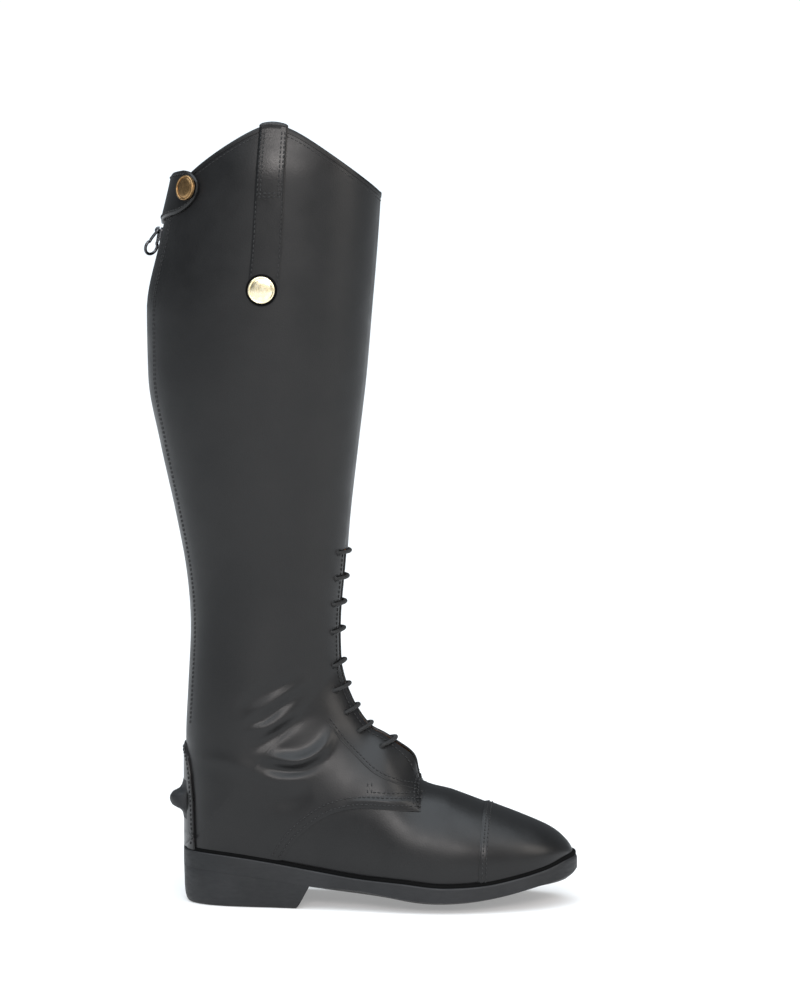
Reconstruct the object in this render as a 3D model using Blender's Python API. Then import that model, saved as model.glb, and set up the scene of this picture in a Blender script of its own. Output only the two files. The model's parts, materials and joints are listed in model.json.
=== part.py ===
"""Right lace-up riding boot: hollow leather upper on a heeled sole, with zip, strap, tab and lace bars.

Lengths in the tables are millimetres in the boot's own frame: x from the back of the heel to the toe,
y towards the inner side of the foot, z up from the floor.
"""
import math

import bmesh
import bpy
import numpy as np
from mathutils import Matrix, Vector

# Driving sizes
MM = 0.001
ORIGIN_X = 120.2
ORIGIN_Y = -2.4
WALL = 2.2
GAP = 0.3
CAP_STEP = 1.0
QUARTER_STEP = 1.2
FACING_RISE = 7.4
FACING_SPREAD = 0.17
FACING_RUN = 0.36
FACING_UP = 0.5
COVER = 1.5
SOLE_EDGE = 3.4
HEEL_BEVEL = 0.6
BEVEL_PLACES = (0.5, 1.3, 2.4, 5.0, 6.0, 6.7, 7.2, 8.0)
BEVELS = (2.1, 2.2, 6.4, 8.3, 9.6, 6.7, 3.5, HEEL_BEVEL)
BEVEL_INSETS = (1.5, 1.8, 12.0, 18.0, 18.0, 9.0, 3.5, HEEL_BEVEL)
SOLE_END = 0.1
HEEL_FRONT_X = 89.7
HEEL_FOOT = (0.8, 80.5)
HEEL_TAPER = 0.93
INSOLE_INSET = 3.4
INSOLE_THICK = 3.0
INSOLE_ENDS = (0.8, 0.35)
TONGUE_THICK = 2.0
TAPE_THICK = 1.2
CHAIN_PROUD = 0.4
CORD_RADIUS = 1.5
CORD_CLEAR = 1.1
TOPLINE_BACK = 484.0
TOPLINE_FRONT = 473.0
TOPLINE_PEAK_RISE = 37.7
PEAK_COLUMN = 0.48
STRAP_HALF = 0.04
TAB_SHARE = 0.15
TAB_EDGE = 0.72
PEAK_BACK = 0.33
PEAK_ROUND = 0.15
PEAK_HOLLOW = 1.75
STRAP_FOOT_Z = 397.0
STRAP_BUTTON_Z = 410.0
STRAP_BUTTON_RADIUS = 8.8
SNAP_BUTTON_Z = 475.5
SNAP_COLUMN = -0.77
SNAP_BUTTON_RADIUS = 8.2
SLIDER_Z = 445.5
SLIDER_SIZE = (7.6, 9.0, 2.0)
HINGE_UP = 2.0
ARCH_WIDE = 3.0
ARCH_THICK = 0.9
PULL_WIRE = 1.0
PULL_BAR = 2.8
PULL_RING = 5.0
PULL_LENGTH = 17.0
PULL_TWIST = math.radians(38.0)
PULL_TILT = math.radians(11.0)
CHAIN_EDGE = 0.985
CHAIN_FOOT = 0.06
CHAIN_STOP = (3.0, 6.0)
COUNTER_SIDE = 0.72
SPUR_HEIGHTS = (59.0, 62.5, 65.0, 68.0, 71.0, 73.0, 77.0)
SPUR_PROUD = (0.8, 4.5, 7.4, 8.6, 7.6, 5.0, 0.8)
SPUR_COLUMNS = (0.92, 0.975, 1.0, -0.975, -0.92)
SPUR_ACROSS = (0.75, 0.95, 1.0, 0.95, 0.75)
LACE_HEIGHTS = (236.0, 219.0, 202.0, 184.0, 162.5, 146.0, 131.0, 118.5, 108.5)
LACE_REACH = 20.0
LACE_POINTS = 9
LACE_DROP = 0.4
SMOOTH_UNDER = math.radians(40.0)

# Sections of the upper, from the toe, over the instep and heel, up the shaft. Each lies in a slanting plane
# from its back (or bottom) point to its front (or ridge) point. Half widths go to the outer and inner side,
# end is the share of them left where the section is cut by the sole, widest is where along the section the
# half width is full, shift moves the section to the inner side, and sole is the height of the sole's tread.
COLUMNS = ("back_x", "back_z", "front_x", "front_z", "outer", "inner",
           "end", "widest", "square", "shift", "sole")
SECTIONS = np.array([
    (261.2, 33.0, 261.2, 33.0, 0.0, 0.0, 0.95, 0.300, 0.92, 7.5, 19.5),
    (256.0, 32.0, 256.8, 40.0, 15.5, 14.5, 0.95, 0.300, 0.92, 7.3, 18.0),
    (244.0, 27.5, 246.5, 48.5, 28.5, 26.5, 0.95, 0.300, 0.92, 6.6, 13.3),
    (226.0, 23.0, 228.0, 57.0, 37.5, 34.5, 0.96, 0.280, 0.94, 5.0, 7.5),
    (203.0, 19.0, 205.0, 66.0, 43.5, 40.5, 0.96, 0.260, 0.96, 3.0, 2.2),
    (178.0, 17.9, 182.0, 75.0, 46.0, 42.5, 0.96, 0.250, 1.00, 1.0, -0.7),
    (150.0, 20.4, 158.5, 83.3, 44.0, 39.5, 0.95, 0.250, 1.00, -0.5, -0.7),
    (121.0, 22.5, 141.0, 108.5, 40.0, 36.0, 0.92, 0.270, 1.00, -1.0, 8.5),
    (92.0, 26.6, 126.0, 118.0, 37.5, 35.0, 0.90, 0.300, 1.00, -0.5, 16.0),
    (62.0, 31.4, 117.0, 129.5, 36.0, 34.5, 0.90, 0.330, 1.00, 0.0, 20.6),
    (37.5, 34.7, 111.5, 141.0, 35.5, 35.0, 0.86, 0.360, 1.00, 0.0, 23.8),
    (18.0, 36.1, 109.0, 149.0, 35.5, 35.2, 0.70, 0.380, 1.00, 0.0, 25.2),
    (7.0, 36.4, 107.5, 156.0, 35.8, 35.4, 0.42, 0.390, 1.00, 0.0, 25.5),
    (3.4, 36.4, 106.8, 162.0, 36.0, 35.5, 0.00, 0.400, 1.00, 0.0, 25.5),
    (3.4, 75.0, 106.3, 171.0, 36.5, 36.0, 0.00, 0.420, 1.00, 0.0, 25.5),
    (3.4, 110.0, 106.0, 182.0, 37.0, 36.5, 0.00, 0.440, 1.00, 0.0, 25.5),
    (5.2, 148.0, 106.2, 193.0, 37.0, 37.0, 0.00, 0.460, 1.00, 0.0, 25.5),
    (6.9, 185.0, 107.2, 206.0, 37.3, 37.3, 0.00, 0.470, 1.00, 0.0, 25.5),
    (4.4, 222.0, 109.3, 228.0, 38.5, 38.5, 0.00, 0.470, 0.99, 0.0, 25.5),
    (-2.8, 262.0, 112.0, 262.0, 41.0, 41.5, 0.00, 0.465, 0.98, 0.0, 25.5),
    (-12.8, 308.0, 117.3, 308.0, 44.8, 45.5, 0.00, 0.480, 0.97, 0.0, 25.5),
    (-20.6, 352.0, 122.5, 352.0, 47.8, 48.5, 0.00, 0.500, 0.96, 0.0, 25.5),
    (-21.3, 396.0, 126.3, 396.0, 49.0, 49.5, 0.00, 0.520, 0.96, 0.0, 25.5),
    (-12.5, 440.0, 130.0, 440.0, 49.0, 49.5, 0.00, 0.500, 0.96, 0.0, 25.5),
    (-2.8, 480.0, 132.6, 480.0, 48.6, 49.3, 0.00, 0.468, 0.96, 0.0, 25.5),
    (5.2, 520.0, 134.5, 520.0, 42.5, 49.0, 0.00, 0.445, 0.96, 0.0, 25.5),
])

# Named places along the sections, and columns round them: 0 is the front ridge, 1 the back or the sole's edge
CAP_LINE = 4.1
HEEL_BACK = 13.0
ZIP_FOOT = 15.0
THROAT_TOP = 18.333
SHAFT_FOOT = 19.0
DERBY_FRONT = 5.97
SEAM = 0.03
TONGUE_EDGE = 0.21
TAPE_EDGE = 0.92
THROAT_EDGE = 0.06
HALF_COLUMNS = (0.06, 0.13, 0.21, 0.28, 0.37, 0.44, 0.48, 0.52,
                0.585, 0.65, 0.72, 0.79, 0.86, 0.92, 0.975, 1.0)
ROUND = np.array([-c for c in reversed(HALF_COLUMNS)] + [0.0] + list(HALF_COLUMNS))

# Lower edge of the quarters in the side view, from its front corner back to the sole: x and height
DERBY_EDGE = ((162.3, 66.0), (148.0, 67.2), (130.4, 68.5), (116.6, 68.0), (102.6, 64.1),
              (91.4, 57.3), (81.4, 48.5), (74.7, 40.0), (69.7, 31.6))


def spline(s):
    """Section values at place s: a cubic through the table without overshoot, mirrored at the toe's tip."""
    tip = SECTIONS[1].copy()
    tip[4:6] *= -1.0
    steps = np.diff(np.vstack([tip, SECTIONS, 2.0 * SECTIONS[-1] - SECTIONS[-2]]), axis=0)
    before, after = steps[:-1], steps[1:]
    limit = 2.0 * np.minimum(np.abs(before), np.abs(after))
    slope = np.where(before * after > 0.0, np.clip(0.5 * (before + after), -limit, limit), 0.0)
    s = np.asarray(s, float)
    i = np.clip(np.floor(s).astype(int), 0, len(SECTIONS) - 2)
    f = (s - i)[..., None]
    rise = f * f * (3.0 - 2.0 * f)
    value = SECTIONS[i] * (1.0 - rise) + SECTIONS[i + 1] * rise
    value += slope[i] * f * (1.0 - f) ** 2 - slope[i + 1] * f * f * (1.0 - f)
    return dict(zip(COLUMNS, np.moveaxis(value, -1, 0)))


def surface(t, s):
    """Point of the last at column t (outer side below 0) and place s: a back and a front superellipse arc."""
    t, s = np.broadcast_arrays(np.asarray(t, float), np.asarray(s, float))
    row = spline(s)
    square = row["square"]
    end = np.clip(row["end"], 0.0, 0.99)
    start = np.arcsin(end ** (1.0 / square))
    angle = start + (np.pi - start) * (1.0 - np.abs(t))
    cosine = np.abs(np.cos(angle))
    back = row["widest"] * (1.0 - (cosine / np.cos(start)) ** square)
    front = row["widest"] + (1.0 - row["widest"]) * cosine ** square
    along = np.where(angle < np.pi / 2, back, front)
    half = np.where(t < 0, -row["outer"], row["inner"])
    x = row["back_x"] + (row["front_x"] - row["back_x"]) * along
    z = row["back_z"] + (row["front_z"] - row["back_z"]) * along
    return np.stack([x, row["shift"] + half * np.abs(np.sin(angle)) ** square, z], axis=-1)


def normal(t, s, step=0.004):
    """Outward unit normal: the cross product of the differences along both parameters."""
    s = np.maximum(s, 0.08)
    across = surface(np.minimum(t + step, 1.0), s) - surface(np.maximum(t - step, -1.0), s)
    along = surface(t, s + step) - surface(t, s - step)
    n = np.cross(across, along)
    return n / np.linalg.norm(n, axis=-1, keepdims=True)


def place_at(height, t, low=SHAFT_FOOT):
    """Place s above `low` at which column t of the surface has the given height."""
    fine = np.linspace(low, len(SECTIONS) - 1, 400)
    return float(np.interp(height, surface(t, fine)[:, 2], fine))


def column_at(distance, s):
    """Column at which the surface has run the given distance from the front ridge, at place s."""
    t = np.linspace(0.0, 0.5, 60)
    run = np.linalg.norm(np.diff(surface(t, s), axis=0), axis=1)
    return float(np.interp(distance, np.concatenate([[0.0], np.cumsum(run)]), t))


def derby_line(t):
    """Place of the quarters' lower edge at column t: down the flap's front and along the edge to the sole."""
    columns, places = np.linspace(0.3, 1.0, 300), np.linspace(5.0, 10.0, 600)
    side = surface(-columns[:, None], places)
    corner = [(0.0, DERBY_FRONT)]
    for x, z in DERBY_EDGE:
        near = np.argmin(np.hypot(side[..., 0] - x, side[..., 2] - z))
        i, j = np.unravel_index(near, side.shape[:2])
        corner.append((columns[i], places[j]))
    return np.interp(np.abs(t), *np.transpose(corner))


def topline(t):
    """Height of the collar at column t: falling from back to front, with a peak on the outer side.

    The peak's slope is hollow in front and straight behind, and its tip is rounded.
    """
    level = TOPLINE_FRONT + (TOPLINE_BACK - TOPLINE_FRONT) * np.abs(t)
    away = np.abs(t) - PEAK_COLUMN
    share = np.where(away < 0.0, away / PEAK_COLUMN, away / PEAK_BACK)
    fall = (np.hypot(share, PEAK_ROUND) - PEAK_ROUND) / (math.hypot(1.0, PEAK_ROUND) - PEAK_ROUND)
    slope = np.clip(1.0 - fall, 0.0, 1.0)
    peak = slope ** np.where(away < 0.0, PEAK_HOLLOW, 1.0)
    return level + np.where(t < 0.0, TOPLINE_PEAK_RISE * peak, 0.0)


def upper_grid():
    """Places of the upper's rows in bands between its seams, lifts of wall and throat's end, and names."""
    t = ROUND
    derby = derby_line(t)
    collar = np.array([place_at(h, c) for h, c in zip(topline(t), t)])
    up_shaft = np.append(np.linspace(0.0, 1.0 - TAB_SHARE, 11), (1.0 - TAB_SHARE / 2, 1.0))
    bands = [
        ("toe", 0.0 * t, 0.0 * t + CAP_LINE - SEAM, (0.0, 0.06, 0.15, 0.28, 0.46, 0.7, 1.0)),
        ("vamp", 0.0 * t + CAP_LINE, derby - SEAM, (0.0, 0.2, 0.4, 0.6, 0.8, 1.0)),
        ("quarter", derby, 0.0 * t + HEEL_BACK, (0.0, 0.025, 0.05, 0.075, 0.1, 0.13, 0.17,
                                                          0.23, 0.31, 0.41, 0.52, 0.64, 0.76, 0.88)),
        ("ankle", 0.0 * t + HEEL_BACK, 0.0 * t + SHAFT_FOOT, np.arange(9) / 9),
        ("shaft", 0.0 * t + SHAFT_FOOT, collar, up_shaft),
    ]
    places, lifts, flaps, first = [], [], [], {}
    for name, low, high, shares in bands:
        first[name] = len(places)
        for share in shares:
            places.append(low + (high - low) * share)
            away = (places[-1] - DERBY_FRONT - FACING_UP) / FACING_RUN
            flaps.append(FACING_RISE * np.exp(-(t / FACING_SPREAD) ** 2 - away ** 2))
            steps = {"toe": CAP_STEP + 0.0 * t, "vamp": 0.0 * t}
            lifts.append(steps.get(name, QUARTER_STEP + flaps[-1]))
    first["collar"] = len(places) - 1
    return np.array(places), np.array(lifts), np.array(flaps), first


class Grid:
    """The upper's rows and columns as points on its outer face, with their normals."""

    def __init__(self):
        self.place, self.lift, self.flap, self.first = upper_grid()
        t = np.broadcast_to(ROUND, self.place.shape)
        self.normal = normal(t, self.place)
        seam = self.normal[:, 0] + self.normal[:, -1]
        seam /= np.linalg.norm(seam, axis=-1, keepdims=True)
        closed = self.place[:, 0] >= HEEL_BACK
        self.normal[closed, 0] = seam[closed]
        self.normal[closed, -1] = seam[closed]
        self.base = surface(t, self.place)

    def row(self, place):
        """Index of the row nearest to a place that is the same at every column."""
        return int(np.argmin(np.abs(self.place[:, len(ROUND) // 2] - place)))

    def outside(self, rows, columns, height):
        """Points at a height over the upper's outer face."""
        pick = np.ix_(rows, columns)
        return self.over_sole(self.base[pick] + self.normal[pick] * (self.lift[pick] + height)[..., None])

    def inside(self, rows, columns, depth):
        """Points at a depth under the last, or under the swell at the throat's lower end."""
        pick = np.ix_(rows, columns)
        return self.over_sole(self.base[pick] + self.normal[pick] * (self.flap[pick] - depth)[..., None])

    def over_sole(self, points):
        """The points, with any that would dip into the sole raised to its top."""
        seat = surface(-1.0, np.linspace(HEEL_BACK, 0.0, 100))
        points[..., 2] = np.maximum(points[..., 2], np.interp(points[..., 0], seat[:, 0], seat[:, 2]))
        return points


def column_span(low, high):
    """Columns of the grid from `low` to `high`, going on past the back seam where `high` is the smaller."""
    index = np.arange(len(ROUND))
    if low < high:
        return index[(ROUND >= low - 1e-6) & (ROUND <= high + 1e-6)]
    return np.concatenate([index[ROUND >= low - 1e-6], index[ROUND <= high + 1e-6]])


def wrap_cells(columns, rows):
    """Cells of a piece that goes round the back: all but those between the two sides of the back seam."""
    cell = np.ones((rows - 1, len(columns) - 1), bool)
    cell[:, np.flatnonzero(np.diff(columns) < 0)] = False
    return cell


def material(name, colour, roughness, metallic=0.0):
    """A plain Principled finish."""
    made = bpy.data.materials.new(name)
    made.use_nodes = True
    shader = made.node_tree.nodes["Principled BSDF"]
    shader.inputs["Base Color"].default_value = (*colour, 1.0)
    shader.inputs["Roughness"].default_value = roughness
    shader.inputs["Metallic"].default_value = metallic
    made.diffuse_color = (*colour, 1.0)
    return made


def add_object(name, points, faces, finish, at=(0.0, 0.0, 0.0)):
    """A smooth-shaded object from points in millimetres, under the boot's empty, with its origin at `at`."""
    mesh = bpy.data.meshes.new(name)
    mesh.from_pydata(((np.asarray(points, float) - at) * MM).tolist(), [], faces)
    form = bmesh.new()
    form.from_mesh(mesh)
    bmesh.ops.recalc_face_normals(form, faces=form.faces)
    form.to_mesh(mesh)
    form.free()
    mesh.shade_smooth()
    mesh.set_sharp_from_angle(angle=SMOOTH_UNDER)
    mesh.materials.append(finish)
    made = bpy.data.objects.new(name, mesh)
    made.location = Vector(at) * MM
    made.parent = bpy.data.objects["boot"]
    bpy.context.collection.objects.link(made)
    return made


def shell(name, outer, inner, finish, columns=None, cells=None, points_in=None):
    """A closed sheet between two grids of points: both faces, and a rim along every open edge.

    Only the given cells are used, and of them the triangles with all corners in `points_in`. `columns` are
    the upper's columns that the grid follows: cells on the inner side are split along the other diagonal.
    """
    rows, width = outer.shape[:2]
    count = rows * width
    inner_side = np.zeros(width, bool) if columns is None else ROUND[columns] >= 0.0
    flat = outer.reshape(-1, 3)
    _, first, same = np.unique(np.round(flat, 4), axis=0, return_index=True, return_inverse=True)
    index = first[same.reshape(-1)].reshape(rows, width)
    cells = np.ones((rows - 1, width - 1), bool) if cells is None else cells
    points_in = np.ones((rows, width), bool) if points_in is None else points_in
    sheet = []
    for i, j in zip(*np.nonzero(cells)):
        corners = [(i, j), (i + 1, j), (i + 1, j + 1), (i, j + 1)]
        out = [k for k in range(4) if not points_in[corners[k]]]
        first_corner = (out[0] + 1) % 4 if out else int(inner_side[j])
        for k in (1, 2):
            triangle = [corners[(first_corner + m) % 4] for m in (0, k, k + 1)]
            face = tuple(int(index[c]) for c in triangle)
            if len(set(face)) == 3 and all(points_in[c] for c in triangle):
                sheet.append(face)
    edges = {(f[k], f[(k + 1) % 3]) for f in sheet for k in range(3)}
    rim = [(b, a, a + count, b + count) for a, b in edges if (b, a) not in edges]
    back = [(c + count, b + count, a + count) for a, b, c in sheet]
    points = np.vstack([flat, inner.reshape(-1, 3)])
    used = sorted({v for f in sheet + rim + back for v in f})
    renumber = {v: k for k, v in enumerate(used)}
    faces = [tuple(renumber[v] for v in f) for f in sheet + rim + back]
    return add_object(name, points[used], faces, finish)


def loft(name, rings, finish, at=(0.0, 0.0, 0.0), loop=False):
    """A closed solid through rings of points, with flat ends, or joined end to end where `loop` is set."""
    rings = np.asarray(rings, float)
    count, sides = rings.shape[:2]
    faces = []
    for i in range(count if loop else count - 1):
        for j in range(sides):
            k = (j + 1) % sides
            n = (i + 1) % count
            faces.append((i * sides + j, i * sides + k, n * sides + k, n * sides + j))
    if not loop:
        faces += [tuple(range(sides))[::-1], tuple((count - 1) * sides + j for j in range(sides))]
    return add_object(name, rings.reshape(-1, 3), faces, finish, at)


def sole_edge(s, side, margin):
    """Plan of the upper's lower edge on one side (-1 outer, 1 inner), moved out by a margin."""
    step = 0.01
    here = surface(side, s)
    low, high = np.clip(s - step, 0.0, HEEL_BACK), np.clip(s + step, 0.0, HEEL_BACK)
    way = surface(side, high) - surface(side, low)
    out = side * np.stack([way[..., 1], -way[..., 0]], axis=-1)
    out /= np.linalg.norm(out, axis=-1, keepdims=True)
    here[..., :2] += out * margin
    return here


def sole_rows(grid, low, high):
    """Places of the upper's rows along the sole's edge, without the doubled rows at its seams."""
    s = grid.place[:, 0]
    s = s[(s > low) & (s < high)]
    return np.concatenate([[low], s[1:][np.diff(s) > 0.1], [high]])


def outsole_rings(s):
    """Cross-sections of the sole: flat top, upright edge and a bevel down to the tread."""
    row = spline(s)
    top = row["back_z"] - GAP
    tread = np.maximum(row["sole"], 0.0)
    bevel = np.interp(s, BEVEL_PLACES, BEVELS)
    inset = np.interp(s, BEVEL_PLACES, BEVEL_INSETS)
    ring = []
    for side in (-1, 1):
        wide = sole_edge(s, side, SOLE_EDGE)[:, :2]
        narrow = sole_edge(s, side, SOLE_EDGE - inset[:, None])[:, :2]
        levels = ((wide, top), (wide, tread + bevel), (narrow, tread))
        edge = [np.column_stack(level) for level in levels]
        ring += edge if side < 0 else edge[::-1]
    return np.stack(ring, axis=1)


def heel_rings(s):
    """Cross-sections of the heel block: under the sole's seat above, smaller and shifted at the floor."""
    top_z = np.maximum(spline(s)["sole"], 0.0) - GAP
    ring = []
    for side in (-1, 1):
        plan = sole_edge(s, side, SOLE_EDGE - HEEL_BEVEL)[:, :2]
        share = (plan[:, 0] - plan[-1, 0]) / (HEEL_FRONT_X - plan[-1, 0])
        foot_x = HEEL_FOOT[0] + (HEEL_FOOT[1] - HEEL_FOOT[0]) * share
        foot = np.column_stack([foot_x, plan[:, 1] * HEEL_TAPER, 0 * top_z])
        edge = [np.column_stack([plan, top_z]), foot]
        ring += edge if side < 0 else edge[::-1]
    return np.stack(ring, axis=1)


def insole_rings(s):
    """Cross-sections of the insole, lying on the sole inside the wall."""
    low = spline(s)["back_z"]
    ring = []
    for side in (-1, 1):
        plan = sole_edge(s, side, -INSOLE_INSET)[:, :2]
        edge = [np.column_stack([plan, low + INSOLE_THICK]), np.column_stack([plan, low])]
        ring += edge if side < 0 else edge[::-1]
    return np.stack(ring, axis=1)


def frame_at(t, s, height):
    """Directions and point of a place at a height over the upper: z along the normal, y up the shaft."""
    n = Vector(normal(np.array(t), np.array(s)))
    up = Vector((0.0, 0.0, 1.0))
    up = (up - n * up.dot(n)).normalized()
    across = up.cross(n)
    spot = Vector(surface(t, s)) + n * (QUARTER_STEP + height)
    return Matrix((across, up, n)).transposed().to_4x4(), spot


def turned(name, profile, frame, finish, sides=20):
    """A turned solid: a profile of radius and height, carried round the frame's normal."""
    turn, spot = frame
    angles = np.arange(sides) * 2 * np.pi / sides
    circle = [Vector((math.cos(a), math.sin(a), 0.0)) for a in angles]
    rings = [[spot + turn @ (c * radius + Vector((0.0, 0.0, h))) for c in circle] for radius, h in profile]
    return loft(name, np.array(rings), finish)


def build_sole(grid, black, lining):
    """Outsole, heel block and insole."""
    fine = np.linspace(CAP_LINE, HEEL_BACK, 300)
    breast = float(np.interp(-HEEL_FRONT_X, -surface(-1.0, fine)[:, 0], fine))
    s = np.sort(np.append(sole_rows(grid, SOLE_END, HEEL_BACK - SOLE_END), breast))
    loft("outsole", outsole_rings(s), black)
    loft("heel", heel_rings(s[s >= breast]), black)
    loft("insole", insole_rings(sole_rows(grid, INSOLE_ENDS[0], HEEL_BACK - INSOLE_ENDS[1])), lining)


def build_upper(grid, leather):
    """The hollow upper: a wall stepped at toe cap and quarters, open at collar, throat, zip and sole."""
    rows = np.arange(len(grid.place))
    columns = np.arange(len(ROUND))
    outer = grid.outside(rows, columns, 0.0)
    inner = grid.inside(rows, columns, WALL)
    cell = np.ones((len(rows) - 1, len(columns) - 1), bool)
    middle = len(columns) // 2
    cell[grid.first["quarter"]:grid.row(THROAT_TOP), middle - 1:middle + 1] = False
    cell[grid.row(ZIP_FOOT):, (0, -1)] = False
    shell("upper", outer, inner, leather, columns, cell)


def build_tongue(grid, leather):
    """Tongue under the throat, from below the vamp's edge to above the top lace bar."""
    rows = np.arange(grid.first["quarter"] - 3, grid.row(THROAT_TOP) + 2)
    columns = column_span(-TONGUE_EDGE, TONGUE_EDGE)
    depth = WALL + GAP
    outer = grid.inside(rows, columns, depth)
    shell("tongue", outer, grid.inside(rows, columns, depth + TONGUE_THICK), leather, columns)


def build_heel_pieces(grid, leather, rubber):
    """Counter cover round the heel, and the spur rest on its back."""
    columns = column_span(COUNTER_SIDE, -COUNTER_SIDE)
    top = grid.row(ZIP_FOOT)
    rank = np.searchsorted(HALF_COLUMNS, np.abs(ROUND[columns]) - 1e-6)
    start = grid.first["ankle"] - (rank - rank.min())
    rows = np.arange(start.min(), top + 1)
    crown = np.where(rank == rank.min(), top - 1, top)
    points_in = (rows[:, None] >= start) & (rows[:, None] <= crown)
    outer = grid.outside(rows, columns, GAP + COVER)
    inner = grid.outside(rows, columns, GAP)
    shell("heel_counter", outer, inner, leather, columns, wrap_cells(columns, len(rows)), points_in)

    t = np.array(SPUR_COLUMNS)
    s = np.array([place_at(height, 1.0, HEEL_BACK) for height in SPUR_HEIGHTS])
    base, n = surface(t, s[:, None]), normal(t, s[:, None])
    seat = QUARTER_STEP + 2 * GAP + COVER
    proud = seat + np.outer(SPUR_PROUD, SPUR_ACROSS)[..., None]
    shell("spur_rest", base + n * proud, base + n * seat, rubber)


def build_zip(grid, tape, metal):
    """Zip up the back: tape behind the slot, chain in it, slider near the top and its hinged pull."""
    columns = column_span(TAPE_EDGE, -TAPE_EDGE)
    rows = np.arange(grid.row(ZIP_FOOT) - 1, grid.first["collar"] + 1)
    outer = grid.inside(rows, columns, WALL + GAP)
    inner = grid.inside(rows, columns, WALL + GAP + TAPE_THICK)
    shell("zip_tape", outer, inner, tape, columns, wrap_cells(columns, len(rows)))

    t = np.array((CHAIN_EDGE, 1.0, -CHAIN_EDGE))
    s = grid.place[grid.row(ZIP_FOOT):, -1]
    below, above = CHAIN_STOP
    s = np.append(s[s < place_at(SLIDER_Z - below, 1.0)], place_at(SLIDER_Z + above, 1.0))
    s[0] += CHAIN_FOOT
    base, n = surface(t, s[:, None]), normal(t, s[:, None])
    shell("zip_chain", base + n * CHAIN_PROUD, base - n * WALL, metal)

    floor = CHAIN_PROUD + GAP - QUARTER_STEP
    turn, spot = frame_at(1.0, place_at(SLIDER_Z, 1.0), floor)
    slider = block("zip_slider", SLIDER_SIZE, turn, spot, metal)
    hinge = spot + turn @ Vector((0.0, HINGE_UP, SLIDER_SIZE[2] + GAP + PULL_WIRE))
    join_arch(slider, turn, hinge)
    hang = np.array((turn @ Matrix.Rotation(-PULL_TILT, 4, "X")).to_3x3())
    path, side = pull_path()
    rings = tube_rings(path @ hang.T, side @ hang.T, PULL_WIRE, loop=True) + np.array(hinge)
    loft("zip_pull", rings, metal, at=tuple(hinge), loop=True)


def pull_path():
    """The pull's wire and its face direction: a bar in the slider's arch, a twisted neck and a ring below."""
    centre = -PULL_LENGTH + PULL_RING
    sweep = np.radians(np.linspace(50.0, -230.0, 15))
    ring = np.column_stack([PULL_RING * np.cos(sweep), centre + PULL_RING * np.sin(sweep)])
    flat = np.vstack([[(-PULL_BAR, 0.0), (0.0, 0.0), (PULL_BAR, 0.0)], ring])
    twist = PULL_TWIST * np.clip(flat[:, 1] / (centre + PULL_RING), 0.0, 1.0)
    path = np.column_stack([flat[:, 0] * np.cos(twist), flat[:, 1], flat[:, 0] * np.sin(twist)])
    return path, np.column_stack([-np.sin(twist), 0.0 * twist, np.cos(twist)])


def block(name, size, turn, spot, finish):
    """A box standing on `spot`, in the directions of the frame `turn`."""
    wide, tall, thick = size
    plan = ((-1, -1), (1, -1), (1, 1), (-1, 1))
    rings = [[spot + turn @ Vector((x * wide / 2, y * tall / 2, h)) for x, y in plan] for h in (0.0, thick)]
    return loft(name, np.array(rings), finish)


def join_arch(slider, turn, hinge):
    """Join an arch to the slider, round the pull's bar: a half ring with legs down into the slider's body."""
    sweep = np.radians(np.linspace(0.0, 180.0, 9))
    reach = PULL_WIRE + GAP
    leg = -(reach + 0.5 * SLIDER_SIZE[2])
    outline = []
    for radius, way in ((reach + ARCH_THICK, 1), (reach, -1)):
        arc = [(radius * math.cos(a), radius * math.sin(a)) for a in sweep]
        outline += ([(radius, leg)] + arc + [(-radius, leg)])[::way]
    rings = [[hinge + turn @ Vector((x, y, h)) for y, h in outline] for x in (-ARCH_WIDE / 2, ARCH_WIDE / 2)]
    arch = loft("slider_arch", np.array(rings), slider.data.materials[0])
    arch.hide_render = True
    arch.display_type = "WIRE"
    joined = slider.modifiers.new("arch", "BOOLEAN")
    joined.operation = "UNION"
    joined.object = arch


def build_strap(grid, leather, brass):
    """Strap over the outer peak: up the outside, over the collar and a little way down the inside."""
    columns = column_span(-PEAK_COLUMN - STRAP_HALF, -PEAK_COLUMN + STRAP_HALF)
    foot = grid.row(place_at(STRAP_FOOT_Z, 0.0))
    out = np.arange(foot, grid.first["collar"] + 1)
    turn_in = out[-1:-3:-1]
    lift = np.array((0.0, 0.0, 1.0))
    layers = []
    for height in (GAP, GAP + COVER):
        up = grid.outside(out, columns, height)
        down = grid.inside(turn_in, columns, WALL + height)
        layers.append(np.vstack([up, up[-1:] + lift * height, down[:1] + lift * height, down]))
    shell("peak_strap", layers[1], layers[0], leather, columns)
    spot = frame_at(-PEAK_COLUMN, place_at(STRAP_BUTTON_Z, -PEAK_COLUMN), 2 * GAP + COVER)
    turned("strap_button", button_profile(STRAP_BUTTON_RADIUS), spot, brass)


def button_profile(radius):
    """Radius and height pairs of a flat stud with a rolled rim round a low dome."""
    return ((0.8 * radius, 0.0), (radius, 0.8), (radius, 2.0), (0.88 * radius, 2.8), (0.76 * radius, 2.2),
            (0.6 * radius, 2.2), (0.3 * radius, 3.0), (0.08 * radius, 3.2))


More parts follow.
